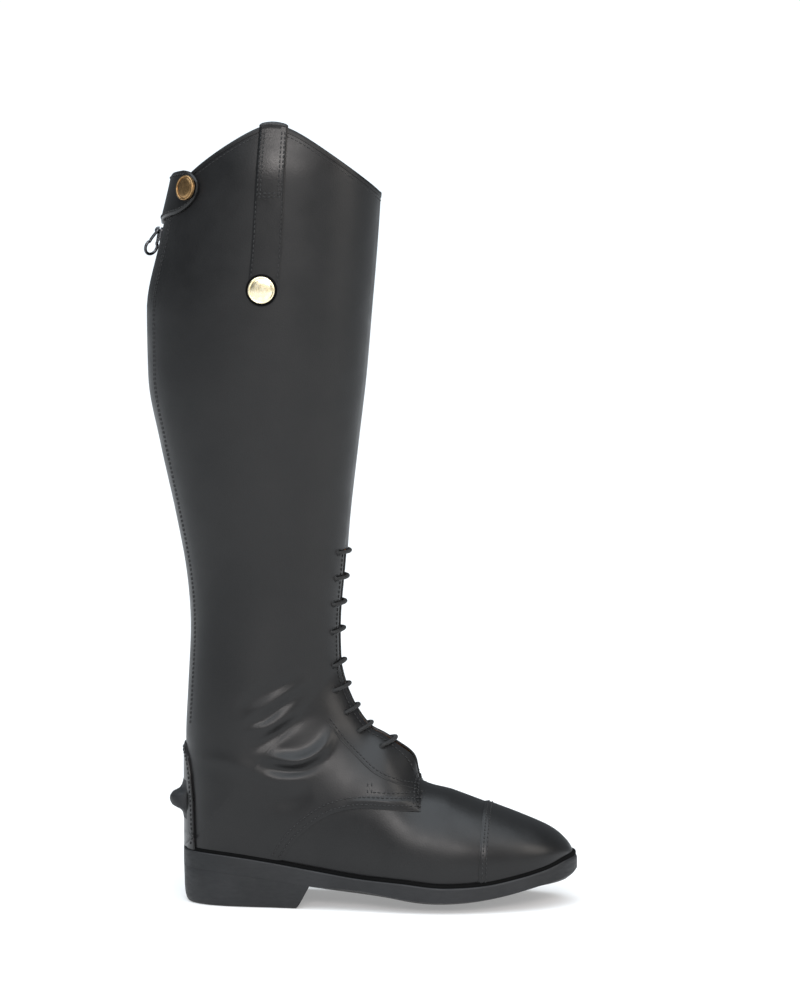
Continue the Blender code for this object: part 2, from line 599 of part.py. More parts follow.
def build_snap_tab(grid, leather, brass):
    """Tab over the top of the zip, from the inner side round the back to a snap on the outer side."""
    rows = np.arange(grid.first["collar"] - 2, grid.first["collar"] + 1)
    columns = column_span(TAB_EDGE, -TAB_EDGE)
    outer = grid.outside(rows, columns, GAP + COVER)
    inner = grid.outside(rows, columns, GAP)
    points_in = np.ones(outer.shape[:2], bool)
    points_in[0, -1] = False
    shell("snap_tab", outer, inner, leather, columns, wrap_cells(columns, len(rows)), points_in)
    spot = frame_at(SNAP_COLUMN, place_at(SNAP_BUTTON_Z, SNAP_COLUMN), 2 * GAP + COVER)
    turned("snap_button", button_profile(SNAP_BUTTON_RADIUS), spot, brass)


def build_lace(grid, cord):
    """Nine bars of elastic cord across the throat, each from eyelet to eyelet over the facings."""
    fine = np.linspace(DERBY_FRONT, SHAFT_FOOT, 600)
    ridge = surface(0.0, fine)[:, 2]
    edge = int(np.argmin(np.abs(ROUND - THROAT_EDGE)))
    for number, height in enumerate(LACE_HEIGHTS, 1):
        middle = np.interp(height, ridge, fine)
        t = column_at(LACE_REACH, middle) * np.linspace(-1.0, 1.0, LACE_POINTS)
        level = height - LACE_DROP * (height - surface(t, middle)[:, 2])
        s = np.array([np.interp(z, surface(c, fine)[:, 2], fine) for z, c in zip(level, t)])
        n = normal(t, s)
        rise = np.interp(s, grid.place[:, edge], grid.lift[:, edge]) - QUARTER_STEP
        fall = np.exp((THROAT_EDGE ** 2 - t ** 2) / FACING_SPREAD ** 2)
        path = surface(t, s) + n * (QUARTER_STEP + rise * fall + GAP + CORD_CLEAR * CORD_RADIUS)[:, None]
        loft(f"lace_bar_{number}", tube_rings(path, n, CORD_RADIUS), cord)


def tube_rings(path, side, radius, sides=6, loop=False):
    """Rings of a round cord along a path, closed where `loop` is set, with `side` square to it."""
    way = np.roll(path, -1, axis=0) - np.roll(path, 1, axis=0) if loop else np.gradient(path, axis=0)
    way /= np.linalg.norm(way, axis=1, keepdims=True)
    cross = np.cross(way, side)
    angles = np.arange(sides) * 2 * np.pi / sides
    ring = np.cos(angles)[None, :, None] * side[:, None] + np.sin(angles)[None, :, None] * cross[:, None]
    return path[:, None] + radius * ring


def start_scene():
    """Clear the scene and add the empty that carries the boot's own frame."""
    for leftover in list(bpy.data.objects):
        bpy.data.objects.remove(leftover, do_unlink=True)
    boot = bpy.data.objects.new("boot", None)
    boot.location = (-ORIGIN_X * MM, -ORIGIN_Y * MM, 0.0)
    bpy.context.collection.objects.link(boot)


def main():
    """Build every piece of the boot."""
    start_scene()
    grid = Grid()
    black_leather = material("black leather", (0.035, 0.034, 0.035), 0.42)
    rubber = material("black rubber", (0.038, 0.039, 0.043), 0.62)
    lining = material("tan lining", (0.60, 0.26, 0.09), 0.7)
    brass = material("brass", (0.80, 0.60, 0.30), 0.3, 1.0)
    gunmetal = material("gunmetal", (0.10, 0.10, 0.11), 0.35, 1.0)
    cord = material("black cord", (0.03, 0.03, 0.032), 0.7)
    build_sole(grid, rubber, lining)
    build_upper(grid, black_leather)
    build_tongue(grid, black_leather)
    build_heel_pieces(grid, black_leather, rubber)
    build_strap(grid, black_leather, brass)
    build_snap_tab(grid, black_leather, brass)
    build_zip(grid, cord, gunmetal)
    build_lace(grid, cord)


main()
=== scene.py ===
"""Looks of a right lace-up riding boot: leather panels, lining, stitching, lace, zip, sole and studio.

Every panel is a surface worked out from one table of sections through the boot, the same one that shapes
the solids. Lengths are millimetres in the boot's own frame (x from the back of the heel to the toe, y to the
inner side, z up) and become metres in the shared frame when a mesh is made.
"""
from __future__ import annotations

import json
import logging
import math
from dataclasses import dataclass, field
from enum import Enum
from functools import cached_property
from typing import Sequence

import bmesh
import bpy
import numpy as np
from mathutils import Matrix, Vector

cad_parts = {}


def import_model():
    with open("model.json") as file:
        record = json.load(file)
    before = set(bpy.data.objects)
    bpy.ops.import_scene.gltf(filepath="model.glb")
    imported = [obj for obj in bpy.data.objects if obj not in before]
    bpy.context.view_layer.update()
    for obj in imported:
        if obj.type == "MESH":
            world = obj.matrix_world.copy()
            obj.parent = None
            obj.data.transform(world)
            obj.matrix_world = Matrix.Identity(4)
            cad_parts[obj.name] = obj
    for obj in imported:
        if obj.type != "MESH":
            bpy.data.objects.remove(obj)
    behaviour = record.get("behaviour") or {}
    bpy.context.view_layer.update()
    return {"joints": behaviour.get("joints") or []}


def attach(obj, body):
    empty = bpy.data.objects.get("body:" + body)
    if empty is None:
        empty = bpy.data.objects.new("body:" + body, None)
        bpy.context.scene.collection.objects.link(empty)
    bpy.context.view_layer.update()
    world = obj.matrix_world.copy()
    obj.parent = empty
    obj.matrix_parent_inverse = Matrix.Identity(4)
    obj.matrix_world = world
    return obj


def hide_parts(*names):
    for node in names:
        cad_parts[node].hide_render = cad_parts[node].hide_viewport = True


LOG = logging.getLogger("riding_boot")
Array = np.ndarray
MM = 0.001
ORIGIN = np.array((120.2, -2.4, 0.0))
BODY = "boot"
PULL_BODY = "pull"
UP = np.array((0.0, 0.0, 1.0))
TO_TOE = np.array((1.0, 0.0, 0.0))
# How often a span is halved to find a value in it, and samples of a line that values are read from
HALVINGS = 40
FINE = 900


class Side(Enum):
    """The two sides of the boot, with the sign of their column parameter."""

    OUTER = -1
    INNER = 1


class Slot(Enum):
    """Material slots of the record."""

    UPPER = "upper_leather"
    TRIM = "trim_leather"
    SOLE = "sole_rubber"
    LINING = "lining"
    BRASS = "brass"
    ZIP = "zip_metal"
    TAPE = "zip_tape"
    CORD = "lace_cord"


def smooth(low: float, high: float, x: Array) -> Array:
    """Cubic step from 0 at `low` to 1 at `high`: 3f^2 - 2f^3 of the clipped share f.

    Args:
        low: where the step starts.
        high: where it ends.
        x: the values.

    Returns:
        The step at each value.
    """
    f = np.clip((np.asarray(x, float) - low) / (high - low), 0.0, 1.0)
    return f * f * (3.0 - 2.0 * f)


def unit(v: Array) -> Array:
    """The vectors along the last axis, made one long."""
    return v / np.maximum(np.linalg.norm(v, axis=-1, keepdims=True), 1e-12)


def run_of(path: Array) -> Array:
    """Distances along a path from its first point: the running sum of the lengths of its steps."""
    return np.concatenate([[0.0], np.cumsum(np.linalg.norm(np.diff(path, axis=0), axis=1))])


def at_run(distance: Array, run: Array, values: Array) -> Array:
    """Vectors that are given along a path, read between its points at distances along it."""
    return np.stack([np.interp(distance, run, column) for column in values.T], axis=-1)


# Sections from the toe over instep and heel up the shaft: back and front point, half widths, share of them
# left at the sole, place of the full width, squareness, shift to the inner side, height of the tread
SECTION_COLUMNS = ("back_x", "back_z", "front_x", "front_z", "outer", "inner",
                   "end", "widest", "square", "shift", "sole")
HALF_WIDTHS = [SECTION_COLUMNS.index(name) for name in ("outer", "inner")]
SECTIONS = np.array([
    (261.2, 33.0, 261.2, 33.0, 0.0, 0.0, 0.95, 0.300, 0.92, 7.5, 19.5),
    (256.0, 32.0, 256.8, 40.0, 15.5, 14.5, 0.95, 0.300, 0.92, 7.3, 18.0),
    (244.0, 27.5, 246.5, 48.5, 28.5, 26.5, 0.95, 0.300, 0.92, 6.6, 13.3),
    (226.0, 23.0, 228.0, 57.0, 37.5, 34.5, 0.96, 0.280, 0.94, 5.0, 7.5),
    (203.0, 19.0, 205.0, 66.0, 43.5, 40.5, 0.96, 0.260, 0.96, 3.0, 2.2),
    (178.0, 17.9, 182.0, 75.0, 46.0, 42.5, 0.96, 0.250, 1.00, 1.0, -0.7),
    (150.0, 20.4, 158.5, 83.3, 44.0, 39.5, 0.95, 0.250, 1.00, -0.5, -0.7),
    (121.0, 22.5, 141.0, 108.5, 40.0, 36.0, 0.92, 0.270, 1.00, -1.0, 8.5),
    (92.0, 26.6, 126.0, 118.0, 37.5, 35.0, 0.90, 0.300, 1.00, -0.5, 16.0),
    (62.0, 31.4, 117.0, 129.5, 36.0, 34.5, 0.90, 0.330, 1.00, 0.0, 20.6),
    (37.5, 34.7, 111.5, 141.0, 35.5, 35.0, 0.86, 0.360, 1.00, 0.0, 23.8),
    (18.0, 36.1, 109.0, 149.0, 35.5, 35.2, 0.70, 0.380, 1.00, 0.0, 25.2),
    (7.0, 36.4, 107.5, 156.0, 35.8, 35.4, 0.42, 0.390, 1.00, 0.0, 25.5),
    (3.4, 36.4, 106.8, 162.0, 36.0, 35.5, 0.00, 0.400, 1.00, 0.0, 25.5),
    (3.4, 75.0, 106.3, 171.0, 36.5, 36.0, 0.00, 0.420, 1.00, 0.0, 25.5),
    (3.4, 110.0, 106.0, 182.0, 37.0, 36.5, 0.00, 0.440, 1.00, 0.0, 25.5),
    (5.2, 148.0, 106.2, 193.0, 37.0, 37.0, 0.00, 0.460, 1.00, 0.0, 25.5),
    (6.9, 185.0, 107.2, 206.0, 37.3, 37.3, 0.00, 0.470, 1.00, 0.0, 25.5),
    (4.4, 222.0, 109.3, 228.0, 38.5, 38.5, 0.00, 0.470, 0.99, 0.0, 25.5),
    (-2.8, 262.0, 112.0, 262.0, 41.0, 41.5, 0.00, 0.465, 0.98, 0.0, 25.5),
    (-12.8, 308.0, 117.3, 308.0, 44.8, 45.5, 0.00, 0.480, 0.97, 0.0, 25.5),
    (-20.6, 352.0, 122.5, 352.0, 47.8, 48.5, 0.00, 0.500, 0.96, 0.0, 25.5),
    (-21.3, 396.0, 126.3, 396.0, 49.0, 49.5, 0.00, 0.520, 0.96, 0.0, 25.5),
    (-12.5, 440.0, 130.0, 440.0, 49.0, 49.5, 0.00, 0.500, 0.96, 0.0, 25.5),
    (-2.8, 480.0, 132.6, 480.0, 48.6, 49.3, 0.00, 0.468, 0.96, 0.0, 25.5),
    (5.2, 520.0, 134.5, 520.0, 42.5, 49.0, 0.00, 0.445, 0.96, 0.0, 25.5),
])


@dataclass(frozen=True)
class Last:
    """The boot's form: a surface of column t (0 front ridge, -1 and 1 back or sole) and place s (row)."""

    cap_line: float = 4.1
    tip_clear: float = 0.08
    heel_back: float = 13.0
    heel_column: float = 0.3
    seam_column: float = 0.9999
    zip_foot: float = 15.0
    throat_top: float = 18.333
    shaft_low: float = 18.0
    shaft_foot: float = 19.0
    derby_front: float = 5.97
    throat_edge: float = 0.06
    slot_edge: float = 0.975
    topline_back: float = 484.0
    topline_front: float = 473.0
    peak_rise: float = 37.7
    peak_column: float = 0.48
    peak_back: float = 0.33
    peak_round: float = 0.15
    peak_hollow: float = 1.75
    cap_step: float = 1.0
    quarter_step: float = 1.2
    facing_rise: float = 7.4
    facing_spread: float = 0.17
    facing_run: float = 0.36
    facing_up: float = 0.5
    derby_edge: tuple[tuple[float, float], ...] = (
        (162.3, 66.0), (148.0, 67.2), (130.4, 68.5), (116.6, 68.0), (102.6, 64.1), (91.4, 57.3), (81.4, 48.5),
        (74.7, 40.0), (69.7, 31.6))

    def section(self, s: Array) -> dict[str, Array]:
        """Values of a section: a cubic through the table with slopes limited so that it never overshoots.

        Args:
            s: places along the table, from 0 at the tip of the toe.

        Returns:
            Each column's value at each place.
        """
        before_tip = SECTIONS[1].copy()
        before_tip[HALF_WIDTHS] *= -1.0
        past_top = 2.0 * SECTIONS[-1] - SECTIONS[-2]
        steps = np.diff(np.vstack([before_tip, SECTIONS, past_top]), axis=0)
        before, after = steps[:-1], steps[1:]
        limit = 2.0 * np.minimum(np.abs(before), np.abs(after))
        slope = np.where(before * after > 0.0, np.clip(0.5 * (before + after), -limit, limit), 0.0)
        s = np.asarray(s, float)
        i = np.clip(np.floor(s).astype(int), 0, len(SECTIONS) - 2)
        f = (s - i)[..., None]
        rise = f * f * (3.0 - 2.0 * f)
        value = SECTIONS[i] * (1.0 - rise) + SECTIONS[i + 1] * rise
        value += slope[i] * f * (1.0 - f) ** 2 - slope[i + 1] * f * f * (1.0 - f)
        return dict(zip(SECTION_COLUMNS, np.moveaxis(value, -1, 0)))

    def surface(self, t: Array, s: Array) -> Array:
        """Points of the form: in each section's slanting plane a back and a front superellipse arc.

        Args:
            t: columns, negative on the outer side.
            s: places.

        Returns:
            Points in millimetres.
        """
        t, s = np.broadcast_arrays(np.asarray(t, float), np.asarray(s, float))
        row = self.section(s)
        square = row["square"]
        start = np.arcsin(np.clip(row["end"], 0.0, 0.99) ** (1.0 / square))
        angle = start + (np.pi - start) * (1.0 - np.abs(t))
        cosine = np.abs(np.cos(angle))
        back = row["widest"] * (1.0 - (cosine / np.cos(start)) ** square)
        front = row["widest"] + (1.0 - row["widest"]) * cosine ** square
        along = np.where(angle < np.pi / 2, back, front)
        half = np.where(t < 0, -row["outer"], row["inner"])
        x = row["back_x"] + (row["front_x"] - row["back_x"]) * along
        z = row["back_z"] + (row["front_z"] - row["back_z"]) * along
        return np.stack([x, row["shift"] + half * np.abs(np.sin(angle)) ** square, z], axis=-1)

    def normal(self, t: Array, s: Array, step: float = 0.01) -> Array:
        """Outward normals: the cross product of differences along both parameters.

        Args:
            t: columns.
            s: places.
            step: half width of the differences.

        Returns:
            Unit vectors.
        """
        t, s = np.broadcast_arrays(np.asarray(t, float), np.maximum(s, self.tip_clear))
        across = self.surface(np.minimum(t + step, 1.0), s) - self.surface(np.maximum(t - step, -1.0), s)
        along = self.surface(t, s + 4 * step) - self.surface(t, s - 4 * step)
        n = unit(np.cross(across, along))
        seam = (np.abs(t) > self.seam_column) & (s >= self.heel_back)
        n[..., 1] = np.where(seam, 0.0, n[..., 1])
        return unit(n)

    def column_at(self, distance: Array, s: float) -> Array:
        """Columns at which the surface has run the given distances from the front ridge, at place s."""
        t = np.linspace(0.0, 1.0, 400)
        return np.interp(distance, run_of(self.surface(t, s)), t)

    def place_for(self, height: Array, t: Array, low: float = 7.0, high: float = 25.0) -> Array:
        """Places at which the given columns have the given heights, found by halving the span.

        Args:
            height: heights over the floor.
            t: columns.
            low: lowest place looked at.
            high: highest place looked at.

        Returns:
            Places.
        """
        height, t = np.broadcast_arrays(np.asarray(height, float), np.asarray(t, float))
        low, high = np.full(t.shape, low), np.full(t.shape, high)
        for _ in range(HALVINGS):
            middle = 0.5 * (low + high)
            short = self.surface(t, middle)[..., 2] < height
            low, high = np.where(short, middle, low), np.where(short, high, middle)
        return 0.5 * (low + high)

    def column_for(self, height: Array, s: Array) -> Array:
        """Columns of the inner side at which places round the heel have the given heights, by halving.

        Args:
            height: heights over the floor.
            s: places.

        Returns:
            Columns.
        """
        height, s = np.broadcast_arrays(np.asarray(height, float), np.asarray(s, float))
        low, high = np.full(s.shape, self.heel_column), np.ones(s.shape)
        for _ in range(HALVINGS):
            middle = 0.5 * (low + high)
            tall = self.surface(middle, s)[..., 2] > height
            low, high = np.where(tall, middle, low), np.where(tall, high, middle)
        return 0.5 * (low + high)

    def find(self, points: Array, side: Side) -> tuple[Array, Array]:
        """Columns and places of the points of one side that have the given x and z in the side view.

        The nearest point of a grid is taken first, and eight short Newton steps lead to the point itself.

        Args:
            points: rows of x from the heel and height over the floor, in millimetres.
            side: which side of the boot.

        Returns:
            Columns and places.
        """
        goal, step, sign = np.asarray(points, float), 0.002, side.value
        most_t, most_s, end = 0.02, 0.2, 0.998
        t, s = np.meshgrid(np.linspace(0.02, 0.99, 90), np.linspace(0.5, len(SECTIONS) - 1.5, 240))
        seen = self.surface(sign * t, s)[..., (0, 2)].reshape(-1, 2)
        best = np.argmin(np.linalg.norm(goal[:, None] - seen, axis=-1), axis=1)
        t, s = t.ravel()[best], s.ravel()[best]
        for _ in range(8):
            here = self.surface(sign * t, s)[..., (0, 2)]
            by_t = (self.surface(sign * (t + step), s)[..., (0, 2)] - here) / step
            by_s = (self.surface(sign * t, s + step)[..., (0, 2)] - here) / step
            miss = goal - here
            area = by_t[:, 0] * by_s[:, 1] - by_t[:, 1] * by_s[:, 0]
            move_t = (miss[:, 0] * by_s[:, 1] - miss[:, 1] * by_s[:, 0]) / area
            move_s = (by_t[:, 0] * miss[:, 1] - by_t[:, 1] * miss[:, 0]) / area
            t = np.clip(t + np.clip(move_t, -most_t, most_t), 0.0, end)
            s = s + np.clip(move_s, -most_s, most_s)
        return sign * t, s

    @cached_property
    def derby_corners(self) -> tuple[Array, Array]:
        """Columns and places along the quarters' lower edge, from the ridge down its front and back."""
        t, s = self.find(curve(self.derby_edge, 40), Side.INNER)
        return np.concatenate([[0.0], t]), np.concatenate([[self.derby_front], s])

    def derby_line(self, t: Array) -> Array:
        """Places of the quarters' lower edge: down the flap's front, then along the edge to the sole."""
        return np.interp(np.abs(t), *self.derby_corners)

    def topline(self, t: Array) -> Array:
        """Heights of the collar: a line from back to front, with a rounded peak on the outer side.

        From the peak the height falls as hypot(share, round), with a hollow towards the front.

        Args:
            t: columns.

        Returns:
            Heights over the floor.
        """
        t = np.asarray(t, float)
        level = self.topline_front + (self.topline_back - self.topline_front) * np.abs(t)
        away = np.abs(t) - self.peak_column
        share = np.where(away < 0.0, away / self.peak_column, away / self.peak_back)
        fall = np.hypot(share, self.peak_round) - self.peak_round
        fall /= math.hypot(1.0, self.peak_round) - self.peak_round
        peak = np.clip(1.0 - fall, 0.0, 1.0) ** np.where(away < 0.0, self.peak_hollow, 1.0)
        return level + np.where(t < 0.0, self.peak_rise * peak, 0.0)

    def collar(self, t: Array) -> Array:
        """Places of the topline at the given columns."""
        fine = np.linspace(self.shaft_foot, len(SECTIONS) - 1, FINE)
        return np.interp(self.topline(t), self.section(fine)["back_z"], fine)

    def quarter_lift(self, t: Array, s: Array) -> Array:
        """Height of the quarters over the form: their thickness, and a swell at the foot of the throat."""
        away = (s - self.derby_front - self.facing_up) / self.facing_run
        return self.quarter_step + self.facing_rise * np.exp(-(t / self.facing_spread) ** 2 - away ** 2)


def to_frame(points: Array) -> Array:
    """Metres in the shared frame from millimetres in the boot's own frame."""
    return (np.asarray(points, float) - ORIGIN) * MM


def curve(points: Sequence[Sequence[float]], count: int) -> Array:
    """A smooth line through given points: Catmull-Rom cubics, sampled evenly in the points' own step.

    Args:
        points: the points, two or three numbers each.
        count: how many samples.

    Returns:
        The samples.
    """
    p = np.asarray(points, float)
    p = np.vstack([2 * p[0] - p[1], p, 2 * p[-1] - p[-2]])
    u = np.linspace(0.0, len(p) - 3.0, count)
    i = np.minimum(u.astype(int), len(p) - 4)
    f = (u - i)[:, None]
    a, b, c, d = p[i], p[i + 1], p[i + 2], p[i + 3]
    square, cube = 2 * a - 5 * b + 4 * c - d, 3 * b - a - 3 * c + d
    return 0.5 * (2 * b + (c - a) * f + square * f ** 2 + cube * f ** 3)


@dataclass
class Form:
    """Points in millimetres and four-cornered faces of a mesh in the making."""

    points: Array
    faces: Array

    @staticmethod
    def of_grid(grid: Array, round_rows: bool = False, round_columns: bool = False) -> Form:
        """All cells of a grid of points, whose last row or column may join the first."""
        faces = quads(*grid.shape[:2], round_rows, round_columns)
        return Form(grid.reshape(-1, 3), faces.reshape(-1, 4))

    @staticmethod
    def copies(local: Array, middle: Array, axes: Array) -> Form:
        """Copies of one small grid, closed round its columns: middle plus each point times the directions.

        Args:
            local: the grid's points, in millimetres along three directions.
            middle: the middle of each copy.
            axes: the three directions of each copy.

        Returns:
            All copies.
        """
        points = middle[:, None, None] + np.einsum("rak,nkc->nrac", local, axes)
        rows, columns = local.shape[:2]
        one = quads(rows, columns, round_columns=True).reshape(-1, 4)
        faces = one + (np.arange(len(middle)) * rows * columns)[:, None, None]
        return Form(points.reshape(-1, 3), faces.reshape(-1, 4))

    @staticmethod
    def joined(forms: Sequence[Form]) -> Form:
        """One form that holds several, each with its own points."""
        starts = np.cumsum([0] + [len(f.points) for f in forms[:-1]])
        faces = np.vstack([f.faces + start for f, start in zip(forms, starts)])
        return Form(np.vstack([f.points for f in forms]), faces)


def quads(rows: int, columns: int, round_rows: bool = False, round_columns: bool = False) -> Array:
    """Corner numbers of the cells of a grid, anticlockwise where columns x rows points outwards.

    Args:
        rows: points down the grid.
        columns: points across it.
        round_rows: whether the last row joins the first.
        round_columns: whether the last column joins the first.

    Returns:
        Corners, one row of four for each cell, as a grid of cells.
    """
    i = np.arange(rows if round_rows else rows - 1)[:, None]
    j = np.arange(columns if round_columns else columns - 1)[None, :]
    up, right = (i + 1) % rows, (j + 1) % columns
    return np.stack(np.broadcast_arrays(i * columns + j, i * columns + right, up * columns + right,
                                        up * columns + j), axis=-1)


def sheet(outer: Array, inner: Array, keep: Array | None = None) -> Form:
    """A closed sheet between two grids of points: both faces, and a rim along each open edge.

    Args:
        outer: grid of points of the outer face.
        inner: the same grid on the inner face.
        keep: which cells are there; all of them if left out.

    Returns:
        The sheet.
    """
    rows, columns = outer.shape[:2]
    keep = np.ones((rows - 1, columns - 1), bool) if keep is None else keep
    count = rows * columns
    number = np.arange(count).reshape(rows, columns)
    front = quads(rows, columns)[keep]
    wide = np.pad(keep, 1)
    below, above = wide[:-1, 1:-1], wide[1:, 1:-1]
    left, right = wide[1:-1, :-1], wide[1:-1, 1:]
    edges = ((above & ~below, number[:, :-1], number[:, 1:]), (below & ~above, number[:, 1:], number[:, :-1]),
             (left & ~right, number[:-1], number[1:]), (right & ~left, number[1:], number[:-1]))
    rims = [np.stack([b[free], a[free], a[free] + count, b[free] + count], axis=-1) for free, a, b in edges]
    points = np.vstack([outer.reshape(-1, 3), inner.reshape(-1, 3)])
    return Form(points, np.vstack([front, front[:, ::-1] + count] + rims))


def swept(rings: Array, round_rows: bool = False) -> Form:
    """A surface through closed rings of points; ends are closed by a ring shrunk to its middle.

    Args:
        rings: points, ring by ring.
        round_rows: whether the last ring joins the first.

    Returns:
        The closed form.
    """
    if not round_rows:
        tip = np.repeat(rings[:1].mean(axis=1, keepdims=True), rings.shape[1], axis=1)
        end = np.repeat(rings[-1:].mean(axis=1, keepdims=True), rings.shape[1], axis=1)
        rings = np.vstack([tip, rings, end])
    return Form.of_grid(rings, round_rows, True)


def tube(path: Array, out: Array, radius: Array | float, sides: int = 10, flat: float = 1.0,
         closed: bool = False) -> Form:
    """A round or flattened cord: circles carried along a path, cos to the side and sin along `out`.

    Args:
        path: the middle line.
        out: direction at each point that `flat` acts along.
        radius: one radius, or one for each point.
        sides: corners of the circle.
        flat: share of the radius along `out`.
        closed: whether the path is a ring.

    Returns:
        The cord.
    """
    way = np.roll(path, -1, axis=0) - np.roll(path, 1, axis=0) if closed else np.gradient(path, axis=0)
    way = unit(way)
    out = unit(out - np.sum(out * way, axis=1, keepdims=True) * way)
    side = np.cross(out, way)
    angle = np.arange(sides) * 2 * np.pi / sides
    ring = np.cos(angle)[:, None] * side[:, None] + flat * np.sin(angle)[:, None] * out[:, None]
    size = np.broadcast_to(radius, len(path))[:, None, None]
    return swept(path[:, None] + size * ring, closed)


def carried(path: Array, out: Array, up: Array, profile: Array, closed: bool = False) -> Form:
    """A closed profile carried along a path: its first number goes along `out`, its second along `up`.

    Args:
        path: the points it is carried along.
        out: first direction at each point.
        up: second direction at each point.
        profile: rows of two numbers, in millimetres.
        closed: whether the path is a ring.

    Returns:
        The form.
    """
    rings = path[:, None] + profile[:, :1] * out[:, None] + profile[:, 1:] * up[:, None]
    return swept(rings, closed)


@dataclass(frozen=True)
class Spot:
    """A place on the boot with its own directions: across, up the shaft and straight out."""

    middle: Array
    across: Array
    up: Array
    out: Array

    @staticmethod
    def on(last: Last, t: float, s: float, height: float) -> Spot:
        """The spot at a height over the form, turned with the form's normal.

        Args:
            last: the boot's form.
            t: column.
            s: place.
            height: millimetres over the form.

        Returns:
            The spot.
        """
        out = last.normal(np.array(t), np.array(s))
        up = unit(UP - out * (UP @ out))
        return Spot(last.surface(t, s) + out * height, np.cross(up, out), up, out)

    def put(self, local: Array) -> Array:
        """Points given as across, up and out of this spot, in the boot's frame."""
        return self.middle + local @ np.stack([self.across, self.up, self.out])

    def turned(self, profile: Sequence[Sequence[float]], sides: int = 48, tall: float = 1.0) -> Form:
        """A turned form: radius and height pairs, from the foot outside to the middle on top, carried round.

        Args:
            profile: radius and height of each ring.
            sides: corners of a ring.
            tall: stretch up the shaft.

        Returns:
            The form.
        """
        p = np.asarray(profile, float)
        angle = np.arange(sides) * 2 * np.pi / sides
        rings = np.stack([p[:, :1] * np.cos(angle), tall * p[:, :1] * np.sin(angle),
                          np.broadcast_to(p[:, 1:], (len(p), sides))], axis=-1)
        return swept(self.put(rings))


@dataclass(frozen=True)
class Thread:
    """Stitching thread: one capsule for each stitch, arched out in its middle and sunk at both ends."""

    pitch: float = 3.0
    length: float = 2.4
    radius: float = 0.42
    arch: float = 0.22
    rings: int = 6
    sides: int = 6

    def along(self, path: Array, out: Array) -> Form:
        """Stitches laid along a path at an even pitch.

        Each is a grid of share f along the stitch and angle a: the girth is (1 - f^4)^0.5, and the middle
        line rises by arch (1 - f^2).

        Args:
            path: points on the leather.
            out: direction out of the leather at each point.

        Returns:
            All stitches of the row.
        """
        run = run_of(path)
        count = max(int(run[-1] / self.pitch), 1)
        middle = (np.arange(count) + 0.5) * run[-1] / count
        way = unit(at_run(middle + 0.5, run, path) - at_run(middle - 0.5, run, path))
        n = at_run(middle, run, out)
        n = unit(n - np.sum(n * way, axis=1, keepdims=True) * way)
        side = np.cross(n, way)
        f = np.linspace(-1.0, 1.0, self.rings)[:, None]
        a = np.arange(self.sides) * 2 * np.pi / self.sides
        girth = self.radius * np.sqrt(1.0 - f ** 4)
        local = np.stack(np.broadcast_arrays(f * self.length / 2, girth * np.cos(a),
                                             girth * np.sin(a) + self.arch * (1.0 - f ** 2)), axis=-1)
        return Form.copies(local, at_run(middle, run, path), np.stack([way, side, n], axis=1))


# Points closer than this, in metres, are one point
WELD = 2e-6


def add_object(name: str, data: bpy.types.ID) -> bpy.types.Object:
    """A new object of the scene, at the origin."""
    made = bpy.data.objects.new(name, data)
    bpy.context.scene.collection.objects.link(made)
    return made


def make_piece(name: str, form: Form, finish: bpy.types.Material, body: str = BODY,
               replaces: Sequence[str] = (), sharp: float = 45.0) -> bpy.types.Object:
    """An object of the boot from a form: welded, faces outwards, smooth-shaded, riding on its body.

    Args:
        name: the piece's name.
        form: its points and faces.
        finish: its material.
        body: the body it moves with.
        replaces: solids that it stands for.
        sharp: edges over this angle, in degrees, stay sharp.

    Returns:
        The object.
    """
    used, corners = np.unique(form.faces, return_inverse=True)
    mesh = bpy.data.meshes.new(name)
    mesh.from_pydata(to_frame(form.points[used]).tolist(), [], corners.reshape(-1, 4).tolist())
    work = bmesh.new()
    work.from_mesh(mesh)
    bmesh.ops.remove_doubles(work, verts=work.verts, dist=WELD)
    bmesh.ops.recalc_face_normals(work, faces=work.faces)
    work.to_mesh(mesh)
    work.free()
    mesh.shade_smooth()
    mesh.set_sharp_from_angle(angle=math.radians(sharp))
    mesh.materials.append(finish)
    made = add_object(name, mesh)
    if replaces:
        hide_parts(*replaces)
    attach(made, body)
    LOG.info("%s: %d faces", name, len(mesh.polygons))
    return made


Colour = tuple[float, float, float]


